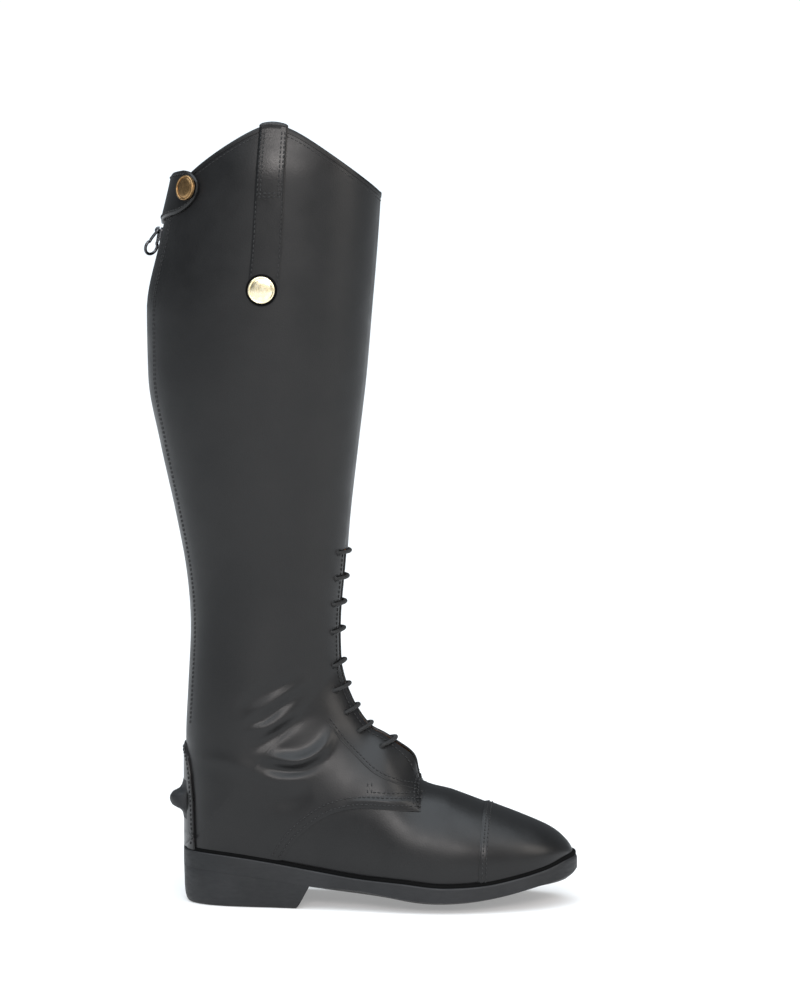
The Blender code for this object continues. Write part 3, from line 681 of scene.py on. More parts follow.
class Nodes:
    """A new material and short calls that add nodes to it."""

    def __init__(self, name: str) -> None:
        """Start a material with its shader."""
        self.material = bpy.data.materials.new(name)
        self.material.use_nodes = True
        self.tree = self.material.node_tree
        self.shader = self.tree.nodes["Principled BSDF"]

    def add(self, kind: str, settings: dict[str, object] | None = None,
            inputs: dict[str | int, object] | None = None) -> bpy.types.Node:
        """A node with its settings; an input that is given a socket is linked to it.

        Args:
            kind: the node's type.
            settings: properties by name.
            inputs: values or sockets by input name or number.

        Returns:
            The node.
        """
        node = self.tree.nodes.new(kind)
        for key, value in (settings or {}).items():
            setattr(node, key, value)
        self.fill(node, inputs or {})
        return node

    def fill(self, node: bpy.types.Node, inputs: dict[str | int, object]) -> None:
        """Set or link inputs of a node.

        Args:
            node: the node.
            inputs: values or sockets by input name or number.
        """
        for key, value in inputs.items():
            if isinstance(value, bpy.types.NodeSocket):
                self.tree.links.new(value, node.inputs[key])
            else:
                node.inputs[key].default_value = value

    def place(self, stretch: Colour = (1.0, 1.0, 1.0)) -> bpy.types.NodeSocket:
        """Object coordinates, stretched."""
        spot = self.add("ShaderNodeTexCoord").outputs["Object"]
        return self.add("ShaderNodeMapping", None, {"Vector": spot, "Scale": stretch}).outputs["Vector"]

    def noise(self, scale: float, detail: float = 3.0, stretch: Colour = (1.0, 1.0, 1.0)
              ) -> bpy.types.NodeSocket:
        """Noise from 0 to 1 at a scale in cells a metre."""
        inputs = {"Vector": self.place(stretch), "Scale": scale, "Detail": detail}
        return self.add("ShaderNodeTexNoise", None, inputs).outputs[0]

    def span(self, value: bpy.types.NodeSocket, low: float, high: float, new: tuple[float, float]
             ) -> bpy.types.NodeSocket:
        """A value from low to high mapped to a new range."""
        inputs = {"Value": value, "From Min": low, "From Max": high, "To Min": new[0], "To Max": new[1]}
        return self.add("ShaderNodeMapRange", None, inputs).outputs[0]

    def mix(self, share: bpy.types.NodeSocket, a: Colour, b: Colour) -> bpy.types.NodeSocket:
        """Two colours mixed by a share."""
        inputs = {0: share, 6: (*a, 1.0), 7: (*b, 1.0)}
        return self.add("ShaderNodeMix", {"data_type": "RGBA"}, inputs).outputs[2]

    def bump(self, height: bpy.types.NodeSocket, distance: float, strength: float = 1.0,
             under: bpy.types.NodeSocket | None = None) -> bpy.types.NodeSocket:
        """Normals of a relief.

        Args:
            height: the relief, from 0 to 1.
            distance: how high it is, in metres.
            strength: share of it that shows.
            under: normals of a coarser relief below it.

        Returns:
            The normals.
        """
        inputs = {"Height": height, "Distance": distance, "Strength": strength}
        if under is not None:
            inputs["Normal"] = under
        return self.add("ShaderNodeBump", None, inputs).outputs["Normal"]


@dataclass(frozen=True)
class Leather:
    """Finished leather: tone that drifts a little, fine pebbled grain, gloss that varies with handling."""

    name: str
    dark: Colour
    light: Colour
    rough: tuple[float, float] = (0.35, 0.46)
    coat: float = 0.06
    specular: float = 0.32
    grain_scale: float = 1150.0
    grain_depth: float = 0.00007

    def material(self) -> bpy.types.Material:
        """The leather as nodes: tone from slow noise, gloss from fast noise, relief from cells and pores."""
        nodes = Nodes(self.name)
        drift = nodes.span(nodes.noise(22.0, 4.0), 0.35, 0.65, (0.0, 1.0))
        handled = nodes.noise(60.0, 5.0)
        cells = nodes.add("ShaderNodeTexVoronoi", {"feature": "SMOOTH_F1"},
                          {"Vector": nodes.place(), "Scale": self.grain_scale}).outputs["Distance"]
        pores = nodes.noise(self.grain_scale * 2.6, 2.0)
        normal = nodes.bump(cells, self.grain_depth, 0.55)
        normal = nodes.bump(pores, self.grain_depth * 0.5, 0.4, normal)
        nodes.fill(nodes.shader, {
            "Base Color": nodes.mix(drift, self.dark, self.light),
            "Roughness": nodes.span(handled, 0.3, 0.7, self.rough),
            "Normal": normal,
            "Coat Weight": self.coat,
            "Coat Roughness": 0.3,
            "Specular IOR Level": self.specular,
        })
        return nodes.material


@dataclass(frozen=True)
class Rubber:
    """Moulded rubber: matte, with a fine sandy skin and faint scuffs."""

    name: str
    dark: Colour
    light: Colour
    rough: tuple[float, float] = (0.5, 0.66)

    def material(self) -> bpy.types.Material:
        """The rubber as nodes: tone and gloss from noise, relief from fine noise and drawn-out scuffs."""
        nodes = Nodes(self.name)
        drift = nodes.span(nodes.noise(45.0, 6.0), 0.35, 0.7, (0.0, 1.0))
        scuffs = nodes.noise(160.0, 6.0, (1.0, 1.0, 3.5))
        normal = nodes.bump(nodes.noise(2600.0, 2.0), 0.00004, 0.6)
        normal = nodes.bump(scuffs, 0.0002, 0.25, normal)
        nodes.fill(nodes.shader, {
            "Base Color": nodes.mix(drift, self.dark, self.light),
            "Roughness": nodes.span(scuffs, 0.3, 0.7, self.rough),
            "Normal": normal,
            "Specular IOR Level": 0.4,
        })
        return nodes.material


@dataclass(frozen=True)
class Metal:
    """Plated metal: one hue with slight tarnish and fine handling marks."""

    name: str
    bright: Colour
    dull: Colour
    rough: tuple[float, float]

    def material(self) -> bpy.types.Material:
        """The metal as nodes: tarnish from slow noise, gloss and relief from fine drawn-out marks."""
        nodes = Nodes(self.name)
        tarnish = nodes.span(nodes.noise(420.0, 4.0), 0.4, 0.75, (0.0, 1.0))
        marks = nodes.noise(1500.0, 3.0, (1.0, 1.0, 0.2))
        nodes.fill(nodes.shader, {
            "Base Color": nodes.mix(tarnish, self.bright, self.dull),
            "Roughness": nodes.span(marks, 0.3, 0.7, self.rough),
            "Normal": nodes.bump(marks, 0.00002, 0.3),
            "Metallic": 1.0,
        })
        return nodes.material


@dataclass(frozen=True)
class Weave:
    """Textile of crossing threads: two waves across each other, in cells a metre."""

    name: str
    dark: Colour
    light: Colour
    scale: float
    depth: float
    rough: float = 0.8
    sheen: float = 0.15

    def material(self) -> bpy.types.Material:
        """The textile as nodes: tone and relief from the product of two waves across each other."""
        nodes = Nodes(self.name)
        waves = [nodes.add("ShaderNodeTexWave", {"bands_direction": way},
                           {"Vector": nodes.place(), "Scale": self.scale, "Distortion": 1.0}).outputs["Fac"]
                 for way in ("Z", "DIAGONAL")]
        cross = nodes.add("ShaderNodeMath", {"operation": "MULTIPLY"}, {0: waves[0], 1: waves[1]}).outputs[0]
        nodes.fill(nodes.shader, {
            "Base Color": nodes.mix(cross, self.dark, self.light),
            "Roughness": self.rough,
            "Normal": nodes.bump(cross, self.depth, 0.8),
            "Sheen Weight": self.sheen,
        })
        return nodes.material


def made_of(finish: Leather | Rubber | Metal | Weave) -> bpy.types.Material:
    """A field that holds the finish's material, made when the finishes are set up."""
    return field(default_factory=finish.material)


@dataclass
class Finishes:
    """All finishes of the boot, made once."""

    upper: bpy.types.Material = made_of(Leather(
        "black calf leather", (0.0045, 0.0045, 0.0048), (0.0068, 0.0066, 0.0068)))
    trim: bpy.types.Material = made_of(Leather(
        "black trim leather", (0.0042, 0.0042, 0.0044), (0.0062, 0.0060, 0.0062), (0.27, 0.37)))
    edge: bpy.types.Material = made_of(Leather(
        "black edge paint", (0.003, 0.003, 0.0031), (0.005, 0.0048, 0.005), (0.42, 0.55), 0.05))
    # Near-black, almost matte finish that paints shade: the strip under the upper and the ring round the
    # strap's stud stand in for shadows
    shade: bpy.types.Material = made_of(Leather(
        "painted shadow black", (0.0012, 0.0012, 0.0013), (0.002, 0.002, 0.002), (0.8, 0.9), 0.0, 0.08))
    lining: bpy.types.Material = made_of(Leather(
        "tan lining leather", (0.80, 0.27, 0.055), (0.92, 0.37, 0.10), (0.5, 0.62), 0.0, 0.35))
    sole: bpy.types.Material = made_of(Rubber(
        "black sole rubber", (0.007, 0.0074, 0.0084), (0.0115, 0.012, 0.0134)))
    brass: bpy.types.Material = made_of(Metal(
        "polished brass", (0.97, 0.87, 0.62), (0.90, 0.74, 0.44), (0.2, 0.32)))
    bronze: bpy.types.Material = made_of(Metal(
        "aged brass", (0.36, 0.22, 0.10), (0.20, 0.12, 0.055), (0.26, 0.42)))
    zip_metal: bpy.types.Material = made_of(Metal(
        "gunmetal", (0.115, 0.115, 0.12), (0.055, 0.055, 0.06), (0.28, 0.42)))
    tape: bpy.types.Material = made_of(Weave(
        "black zip tape", (0.006, 0.006, 0.0065), (0.017, 0.017, 0.018), 260.0, 0.00016))
    cord: bpy.types.Material = made_of(Weave(
        "black elastic cord", (0.003, 0.003, 0.0032), (0.010, 0.010, 0.0105), 240.0, 0.0002, 0.72, 0.02))
    thread: bpy.types.Material = made_of(Weave(
        "black waxed thread", (0.006, 0.006, 0.0064), (0.014, 0.014, 0.0146), 900.0, 0.00005, 0.6, 0.0))


@dataclass(frozen=True)
class Crease:
    """A soft fold of the leather: a line in the side view, with its height (below 0 a trough) and width."""

    line: tuple[tuple[float, float], ...]
    height: float
    width: float
    side: Side = Side.OUTER
    samples: int = 110
    tip: float = 0.05
    ease: float = 0.08

    def rise(self, points: Array, t: Array) -> Array:
        """Rise of the leather: height times exp of -(distance / width)^2, less towards the line's ends.

        Args:
            points: points of the form.
            t: their columns.

        Returns:
            Millimetres along the normal.
        """
        path = curve(self.line, self.samples)
        away = np.hypot(points[..., None, 0] - path[:, 0], points[..., None, 2] - path[:, 1])
        nearest = np.argmin(away, axis=-1)
        share = self.tip + (1.0 - 2.0 * self.tip) * nearest / (len(path) - 1)
        taper = np.sin(np.pi * share) ** 0.9
        near = np.take_along_axis(away, nearest[..., None], axis=-1)[..., 0]
        bell = np.exp(-(near / self.width) ** 2)
        return self.height * taper * bell * smooth(0.0, self.ease, t * self.side.value)


# Folds of the ankle, given one by one from the top down, first those of the outer side: points of x from the
# heel and height over the floor, then how high and how wide the fold is
CREASES = (
    Crease(((42.0, 132.5), (53.0, 140.0), (61.5, 145.0), (80.0, 154.5)), -1.8, 3.6),
    Crease(((46.0, 127.5), (57.5, 134.5), (66.0, 140.0), (84.0, 150.5)), 1.6, 3.8),
    Crease(((49.0, 124.0), (61.5, 130.0), (69.5, 135.5), (84.0, 144.5)), -1.7, 3.2),
    Crease(((49.0, 119.5), (60.0, 121.0), (67.0, 124.5), (78.0, 132.0)), 1.7, 3.8),
    Crease(((84.0, 128.0), (71.0, 119.5), (60.0, 112.5), (50.0, 106.5)), -2.3, 4.6),
    Crease(((59.5, 95.4), (67.0, 93.6), (76.0, 92.8), (85.5, 94.0), (97.0, 100.0)), -2.8, 3.6),
    Crease(((61.0, 101.5), (70.5, 99.6), (80.0, 98.8), (89.3, 101.5), (97.0, 107.5), (101.5, 117.0)),
           4.4, 4.3),
    Crease(((19.0, 99.0), (35.0, 98.0), (48.0, 94.0), (61.5, 88.6), (76.0, 87.2), (88.0, 89.5)), 1.0, 4.8),
    Crease(((60.0, 76.0), (74.0, 74.0), (90.0, 80.0)), -1.4, 8.0),
    Crease(((163.0, 71.0), (148.0, 72.2), (131.0, 73.4), (117.0, 72.8)), 1.2, 1.8),
    Crease(((46.0, 140.0), (60.0, 146.0), (76.0, 154.0)), -1.6, 4.6, Side.INNER),
    Crease(((48.0, 129.0), (62.0, 135.0), (78.0, 144.0)), 1.5, 5.0, Side.INNER),
    Crease(((50.0, 118.0), (64.0, 121.0), (82.0, 130.0)), -1.7, 4.6, Side.INNER),
    Crease(((58.0, 106.0), (74.0, 103.0), (90.0, 108.0), (98.0, 118.0)), 2.2, 6.0, Side.INNER),
    Crease(((54.0, 98.0), (70.0, 94.0), (88.0, 96.0)), -1.8, 5.0, Side.INNER),
)

# Seam of the facing in the side view, from under the lacing down to the flap's front
FACING_SEAM = ((99.0, 124.5), (108.4, 112.0), (119.0, 101.3), (129.0, 92.6), (136.3, 88.2), (148.2, 82.6),
               (158.0, 78.6))


@dataclass
class Upper:
    """Vamp, toe cap, quarters with the shaft, lining, collar binding, tongue and their stitching."""

    last: Last
    kit: Finishes
    thread: Thread = Thread()
    slim: Thread = Thread(radius=0.3, arch=0.04)
    leather: float = 1.6
    edge_round: float = 0.6
    foot_round: float = 0.75
    vamp_under: tuple[float, float] = (0.2, 0.3)
    cap_round: float = 0.7
    cap_sunk: float = 0.5
    cap_tip: float = 0.35
    lining_depth: tuple[float, float] = (0.5, 2.2)
    lining_edge: float = 0.17
    lining_slot: float = 0.925
    lining_foot: float = 0.4
    lining_toe: float = 1.0
    lining_top: float = 0.02
    binding_profile: tuple[tuple[float, float], ...] = (
        (1.2, -3.2), (1.55, -3.0), (1.62, -1.6), (1.6, -0.2), (1.25, 0.45), (0.3, 0.75), (-1.2, 0.75),
        (-2.2, 0.45), (-2.55, -0.2), (-2.6, -1.6), (-2.5, -3.0), (-2.2, -3.2))
    tongue_depth: tuple[float, float] = (2.7, 4.5)
    tongue_edge: float = 0.2
    tongue_past: tuple[float, float] = (0.6, 0.45)
    tongue_crown: float = 0.9
    tongue_spread: float = 0.08
    derby_gaps: tuple[float, float] = (2.6, 7.2)
    top_gap: float = 3.2
    row_foot: float = 33.5
    flap_gaps: tuple[float, float] = (0.1, 0.22)
    flap_end: float = 0.41
    tack: tuple[float, float] = (128.6, 85.5)
    tack_length: float = 8.0
    tack_half: float = 1.3
    seam_gap: tuple[float, float] = (1.5, 1.6)
    seam_radius: float = 0.75
    seam_flat: float = 0.6
    seam_sunk: float = 0.1
    throat_gap: float = 8.6
    zip_rows: tuple[float, float] = (0.862, 0.85)
    collar_gap: float = 0.13
    cap_gaps: tuple[float, float] = (0.09, 0.19)

    def folds(self, t: Array, s: Array) -> Array:
        """Sum of all creases.

        Args:
            t: columns.
            s: places.

        Returns:
            Millimetres along the normals.
        """
        points = self.last.surface(t, s)
        t = np.broadcast_to(t, points.shape[:-1])
        return sum(crease.rise(points, t) for crease in CREASES)

    def swell(self, t: Array, s: Array) -> Array:
        """Rise of the whole wall over the form: creases, and the swell at the lower end of the throat."""
        return self.folds(t, s) + self.last.quarter_lift(t, s) - self.last.quarter_step

    def on_quarter(self, t: Array, s: Array, height: float = 0.0) -> tuple[Array, Array]:
        """Points over the quarters' leather: the form plus its normal times swell, leather and height.

        Args:
            t: columns.
            s: places.
            height: millimetres over the leather.

        Returns:
            Points and normals.
        """
        n = self.last.normal(t, s)
        lift = self.swell(t, s) + self.last.quarter_step + height
        return self.last.surface(t, s) + n * lift[..., None], n

    def half_columns(self) -> Array:
        """Columns of one side from throat to zip, close together along both edges."""
        near = self.last.throat_edge + np.array((0.0, 0.0025, 0.006, 0.012))
        zip_edge = (0.962, 0.968, 0.972, self.last.slot_edge, 0.988, 1.0)
        return np.concatenate([near, np.linspace(0.083, 0.955, 92), zip_edge])

    def cells(self, t: Array, s: Array, edge: float, slot: float, slot_foot: float) -> Array:
        """Cells of a grid that are there: all but those in the open throat and in the slot of the zip.

        Args:
            t: columns.
            s: places.
            edge: column of the throat's edge.
            slot: column of the edge along the zip.
            slot_foot: place where the slot begins.

        Returns:
            Which cells are kept.
        """
        middle_t = np.abs(0.5 * (t[:-1] + t[1:]))
        middle_s = 0.25 * (s[:-1, :-1] + s[1:, :-1] + s[:-1, 1:] + s[1:, 1:])
        throat = (middle_t < edge) & (middle_s < self.last.throat_top) & (middle_s > self.last.derby_front)
        return ~(throat | ((middle_t > slot) & (middle_s > slot_foot)))

    def quarters(self) -> None:
        """Quarters and shaft: the form lifted by leather and folds, with rounded edges all round.

        The rows are close together along both edges and over the folds of the ankle.
        """
        last, half = self.last, self.half_columns()
        t = np.concatenate([-half[::-1], (-0.03, 0.0, 0.03), half])
        share = np.concatenate([(0.0, 0.0015, 0.004, 0.009), np.linspace(0.016, 0.24, 56),
                                np.linspace(0.2425, 0.43, 84), np.linspace(0.438, 0.986, 66),
                                (0.993, 0.998, 1.0)])
        low, high = last.derby_line(t), last.collar(t)
        s = low + (high - low) * share[:, None]
        base, n = last.surface(t, s), last.normal(t, s)
        body = self.swell(t, s) + last.quarter_step
        away = np.abs(t)
        foot = self.foot_round * (1.0 - smooth(0.0, 0.008, share[:, None]))
        by_zip = self.edge_round * smooth(0.962, last.slot_edge, away)
        by_throat = self.edge_round * (1.0 - smooth(last.throat_edge, 0.072, away))
        edge = foot + np.where(s > last.heel_back, by_zip, 0.0)
        edge = edge + np.where((s < last.throat_top) & (away > 0.05), by_throat, 0.0)
        outer = base + n * (body - edge)[..., None]
        inner = base + n * (body - self.leather)[..., None]
        kept = self.cells(t, s, last.throat_edge, last.slot_edge, last.heel_back)
        make_piece("quarters", sheet(outer, inner, kept), self.kit.upper, replaces=("upper",),
                   sharp=60.0)

    def vamp(self) -> None:
        """Vamp: the plain form from under the toe cap to under the quarters."""
        t = np.linspace(-1.0, 1.0, 171)
        low = self.last.cap_line - self.vamp_under[0]
        high = self.last.derby_line(t) + self.vamp_under[1]
        s = low + (high - low) * np.linspace(0.0, 1.0, 80)[:, None]
        base, n = self.last.surface(t, s), self.last.normal(t, s)
        make_piece("vamp", sheet(base, base - n * self.leather), self.kit.upper)

    def toe_cap(self) -> None:
        """Toe cap: the form lifted by its step, from a pole at the toe's tip to a rounded edge."""
        t = np.linspace(-1.0, 1.0, 171)
        share = np.concatenate([np.linspace(0.0, 1.0, 40)[:-1] ** 1.5 * 0.985, [0.985, 0.992, 0.997, 1.0]])
        s = self.last.cap_line * share[:, None]
        n = self.last.normal(t, s)
        tip = smooth(0.0, self.cap_tip, s)[..., None]
        n = unit(n * tip + TO_TOE * (1.0 - tip))
        lift = self.last.cap_step - self.cap_round * smooth(0.984, 1.0, share[:, None]) + 0.0 * t
        base = self.last.surface(t, s)
        outer = base + n * lift[..., None]
        make_piece("toe_cap", sheet(outer, base - n * self.cap_sunk), self.kit.upper)

    def lining(self) -> None:
        """Tan lining against the inside of the whole wall, open at the throat and the zip."""
        half = np.concatenate([np.linspace(0.028, self.lining_edge, 6),
                               np.linspace(0.186, self.lining_slot, 48), [self.last.slot_edge, 1.0]])
        t = np.concatenate([-half[::-1], [0.0], half])
        top = self.last.collar(t) - self.lining_top
        s = self.lining_toe + (top - self.lining_toe) * np.linspace(0.0, 1.0, 170)[:, None]
        base, n = self.last.surface(t, s), self.last.normal(t, s)
        rise = self.swell(t, s) * smooth(0.0, 0.5, s - self.last.derby_line(t))
        outer, inner = (base + n * (rise - depth)[..., None] for depth in self.lining_depth)
        kept = self.cells(t, s, self.lining_edge, self.lining_slot, self.last.zip_foot - self.lining_foot)
        make_piece("lining", sheet(outer, inner, kept), self.kit.lining)

    def binding(self) -> None:
        """Folded edge of the collar: a slim hood over leather and lining, carried along the topline."""
        t = np.linspace(-self.last.slot_edge, self.last.slot_edge, 260)
        s = self.last.collar(t)
        out = self.last.normal(t, s)
        up = unit(self.last.surface(t, s) - self.last.surface(t, s - 0.05))
        form = carried(self.last.surface(t, s), out, up, np.array(self.binding_profile))
        make_piece("collar_binding", form, self.kit.edge)

    def tongue(self) -> None:
        """Tongue: a sheet under the throat, crowned a little along its middle."""
        t = np.linspace(-self.tongue_edge, self.tongue_edge, 41)
        low, high = self.last.derby_front - self.tongue_past[0], self.last.throat_top + self.tongue_past[1]
        s = np.linspace(low, high, 120)[:, None] + 0.0 * t
        base, n = self.last.surface(t, s), self.last.normal(t, s)
        crown = self.tongue_crown * np.exp(-(t / self.tongue_spread) ** 2)
        rise = self.last.quarter_lift(t, s) - self.last.quarter_step + crown
        outer, inner = (base + n * (rise - depth)[..., None] for depth in self.tongue_depth)
        make_piece("tongue_leather", sheet(outer, inner), self.kit.upper, replaces=("tongue",))

    def row(self, t: Array, s: Array) -> Form:
        """Stitches along columns and places on the quarters."""
        return self.thread.along(*self.on_quarter(t, s))

    def seen_row(self, line: Array, side: Side) -> tuple[Array, Array]:
        """Points on the quarters, and their normals, along a line given in the side view."""
        return self.on_quarter(*self.last.find(line, side))

    def derby_rows(self, side: Side) -> list[Form]:
        """Stitches along the quarters' lower edge and up the flap's front, and the tack over their meeting.

        Args:
            side: which side of the boot.

        Returns:
            One form for each row.
        """
        edge = curve(self.last.derby_edge, 60)
        way = unit(np.gradient(edge, axis=0))
        inwards = np.column_stack([way[:, 1], -way[:, 0]])
        lines = [edge + inwards * gap for gap in self.derby_gaps]
        lines = [line[line[:, 1] > self.row_foot] for line in lines]
        lines.append(lines[-1][lines[-1][:, 0] > self.tack[0]] + np.array((0.0, self.top_gap)))
        for shift in (-self.tack_half, self.tack_half):
            top = np.array((self.tack[0] + shift, self.tack[1]))
            lines.append(top - np.outer(np.linspace(0.0, 1.0, 8), (0.0, self.tack_length)))
        rows = [self.thread.along(*self.seen_row(line, side)) for line in lines]
        t = side.value * np.linspace(self.last.throat_edge + 0.02, self.flap_end, 40)
        return rows + [self.row(t, self.last.derby_line(t) + gap) for gap in self.flap_gaps]

    def stitching(self) -> None:
        """Rows of the derby edge, facings, throat, collar, zip bands and toe cap."""
        rows = []
        for side in Side:
            rows += self.derby_rows(side)
            seam = curve(FACING_SEAM, 80)
            rows.append(self.thread.along(*self.seen_row(seam + np.array(self.seam_gap), side)))
            s = np.linspace(self.last.derby_front + 0.3, self.last.throat_top - 0.1, 160)
            ramp = np.linspace(self.last.derby_front, self.last.throat_top, 24)
            columns = np.array([self.last.column_at(self.throat_gap, place) for place in ramp])
            rows.append(self.row(side.value * (np.interp(s, ramp, columns) + 0.02), s))
            top = float(self.last.collar(np.array(side.value * 0.95))) - 0.1
            s = np.linspace(self.last.zip_foot + 0.2, top, 200)
            for column in self.zip_rows:
                rows.append(self.slim.along(*self.on_quarter(side.value * column + 0.0 * s, s)))
        t = np.linspace(-0.97, 0.97, 300)
        rows.append(self.slim.along(*self.on_quarter(t, self.last.collar(t) - self.collar_gap)))
        t = np.linspace(-0.985, 0.985, 200)
        for gap in self.cap_gaps:
            s = np.full_like(t, self.last.cap_line - gap)
            n = self.last.normal(t, s)
            rows.append(self.thread.along(self.last.surface(t, s) + n * self.last.cap_step, n))
        make_piece("upper_stitching", Form.joined(rows), self.kit.thread, sharp=80.0)

    def seams(self) -> None:
        """Raised seams of both facings: a flattened cord sunk by half in the leather."""
        cords = []
        for side in Side:
            points, n = self.seen_row(curve(FACING_SEAM, 120), side)
            cords.append(tube(points - n * self.seam_sunk, n, self.seam_radius, 8, self.seam_flat))
        make_piece("facing_seams", Form.joined(cords), self.kit.upper)

    def build(self) -> None:
        """All pieces of the upper."""
        self.quarters()
        self.vamp()
        self.toe_cap()
        self.lining()
        self.binding()
        self.tongue()
        self.stitching()
        self.seams()


@dataclass
class Sole:
    """Outsole with its rounded edge, a near-black strip of painted shadow under the upper, heel block and
    insole.
    """

    last: Last
    kit: Finishes
    margin: float = 3.4
    gap: float = 0.3
    bevel_places: tuple[float, ...] = (0.0, 1.3, 2.4, 5.0, 6.0, 6.7, 7.2, 8.0)
    bevels: tuple[float, ...] = (4.2, 3.2, 6.0, 7.6, 8.8, 8.6, 6.0, 0.0)
    insets: tuple[float, ...] = (3.0, 4.0, 24.0, 36.0, 37.0, 33.0, 18.0, 0.0)
    bevel_blend: float = 0.45
    bevel_hollow: float = 1.3
    tread_round: float = 2.0
    tread_sunk: float = 0.34
    tread_blend: float = 0.9
    window: int = 13
    round_places: tuple[float, ...] = (0.0, 2.5, 7.0)
    top_rounds: tuple[float, ...] = (3.4, 1.6, 1.0)
    # Profile of the near-black strip that paints the shadow in the gap between upper and sole
    shadow_strip_profile: tuple[tuple[float, float], ...] = (
        (-0.5, -1.0), (2.5, -1.0), (2.6, 0.1), (2.4, 1.1), (1.7, 1.8), (-0.5, 1.8))
    toe_turn: float = 0.12
    toe_end: float = 1.2
    heel_start: float = 12.0
    heel_turn: float = 12.2
    heel_front: float = 89.7
    heel_foot: tuple[float, float] = (0.8, 80.5)
    heel_taper: float = 0.93
    heel_sunk: float = 1.4
    heel_edge: tuple[tuple[float, float], ...] = (
        (0.0, 1.2), (0.02, 0.4), (0.045, 0.0), (0.3, 0.0), (0.6, 0.0), (0.75, 0.1), (0.85, 0.4), (0.92, 0.9),
        (0.97, 1.7), (0.992, 2.6), (1.0, 3.4))
    insole_inset: float = 3.0
    insole_thick: float = 3.0
    insole_round: tuple[float, float] = (1.2, 0.3)

    def edge(self, s: Array, side: Side, margin: Array | float) -> Array:
        """Plan of the upper's lower edge, moved out by a margin, square to it, and straight at toe and heel.

        Args:
            s: places from the toe's tip to the back of the heel.
            side: which side.
            margin: millimetres outwards.

        Returns:
            x and y of the edge.
        """
        step = 0.02
        here = self.last.surface(side.value, s)[:, :2]
        low, high = np.clip(s - step, 0.0, self.last.heel_back), np.clip(s + step, 0.0, self.last.heel_back)
        way = self.last.surface(side.value, high)[:, :2] - self.last.surface(side.value, low)[:, :2]
        out = unit(side.value * np.stack([way[:, 1], -way[:, 0]], axis=-1))
        toe = (1.0 - smooth(0.0, self.toe_turn, s))[:, None]
        heel = smooth(self.heel_turn, self.last.heel_back, s)[:, None]
        out = unit(out * (1.0 - toe) * (1.0 - heel) + TO_TOE[:2] * toe - TO_TOE[:2] * heel)
        return here + out * np.broadcast_to(margin, s.shape)[:, None]

    def middle(self, s: Array) -> Array:
        """Plan of the line half way between both edges."""
        return 0.5 * (self.edge(s, Side.OUTER, 0.0) + self.edge(s, Side.INNER, 0.0))

    def halves(self, s: Array, levels: list[tuple[Array, Array]], flat: tuple[Array, Array]) -> Form:
        """A block under the foot: on each side rows of edge points from top to bottom, joined at the middle.

        Args:
            s: places.
            levels: margins and heights of the edge, from the top down, at the places.
            flat: heights of the top and bottom faces along the middle.

        Returns:
            The closed form.
        """
        top, bottom = (np.column_stack([self.middle(s), height]) for height in flat)
        forms = []
        for side in Side:
            edges = [np.column_stack([self.edge(s, side, margin), height]) for margin, height in levels]
            forms.append(Form.of_grid(np.stack([top, *edges, bottom], axis=1)))
        return Form.joined(forms)

    def places(self) -> Array:
        """Places along the sole's edge, close together round the toe and the back of the heel."""
        return np.concatenate([np.linspace(0.0, 1.0, 40)[:-1] ** 1.6 * self.toe_end,
                               np.linspace(self.toe_end, self.heel_start, 190), self.heel_places()])

    def heel_places(self) -> Array:
        """Places round the back of the heel."""
        return np.linspace(self.heel_start, self.last.heel_back, 40)[1:]

    def blended(self, s: Array, values: tuple[float, ...]) -> Array:
        """Values between the bevel's places: the line through them, averaged over a window of places."""
        window = np.linspace(-self.bevel_blend, self.bevel_blend, self.window)
        return np.interp(s[:, None] + window, self.bevel_places, values).mean(axis=1)

    def tread(self, s: Array) -> Array:
        """Heights of the tread: the table's, joined to the floor in a round and averaged over a window."""
        reach = np.minimum(self.tread_blend, np.minimum(s, self.last.heel_back - s))
        window = reach[:, None] * np.linspace(-1.0, 1.0, self.window)
        sole = self.last.section(s[:, None] + window)["sole"]
        joined = 0.5 * (sole + np.hypot(sole, self.tread_round)) - self.tread_sunk * self.tread_round
        return np.maximum(joined, 0.0).mean(axis=1)

    def outsole(self) -> None:
        """Outsole: flat top, a quarter circle as upper edge, plain side and a hollow slant to the tread."""
        s = self.places()
        top, tread = self.last.section(s)["back_z"] - self.gap, self.tread(s)
        bevel, inset = self.blended(s, self.bevels), self.blended(s, self.insets)
        crown = np.interp(s, self.round_places, self.top_rounds)
        levels = [(self.margin - crown * (1.0 - math.sin(a)), top - crown * (1.0 - math.cos(a)))
                  for a in np.linspace(0.0, np.pi / 2, 6)]
        levels += [(self.margin - inset * f, tread + bevel * (1.0 - f) ** self.bevel_hollow)
                   for f in np.linspace(0.0, 1.0, 9)]
        make_piece("sole", self.halves(s, levels, (top, tread)), self.kit.sole,
                   replaces=("outsole",), sharp=35.0)

    def shadow_strip(self) -> None:
        """Painted shadow: a slim near-black strip in the angle of upper and sole, carried round the edge,
        where the gap between them lies in shade.
        """
        s = self.places()
        ring = []
        for side, way in ((Side.OUTER, 1), (Side.INNER, -1)):
            edge = np.column_stack([self.edge(s, side, 0.0), self.last.section(s)["back_z"]])
            out = np.column_stack([self.edge(s, side, 1.0), edge[:, 2]]) - edge
            ring.append(np.stack([edge, out], axis=1)[::way][:-1])
        path = np.vstack(ring)
        up = np.broadcast_to(UP, path[:, 0].shape)
        form = carried(path[:, 0], path[:, 1], up, np.array(self.shadow_strip_profile), closed=True)
        make_piece("shadow_strip", form, self.kit.shade)

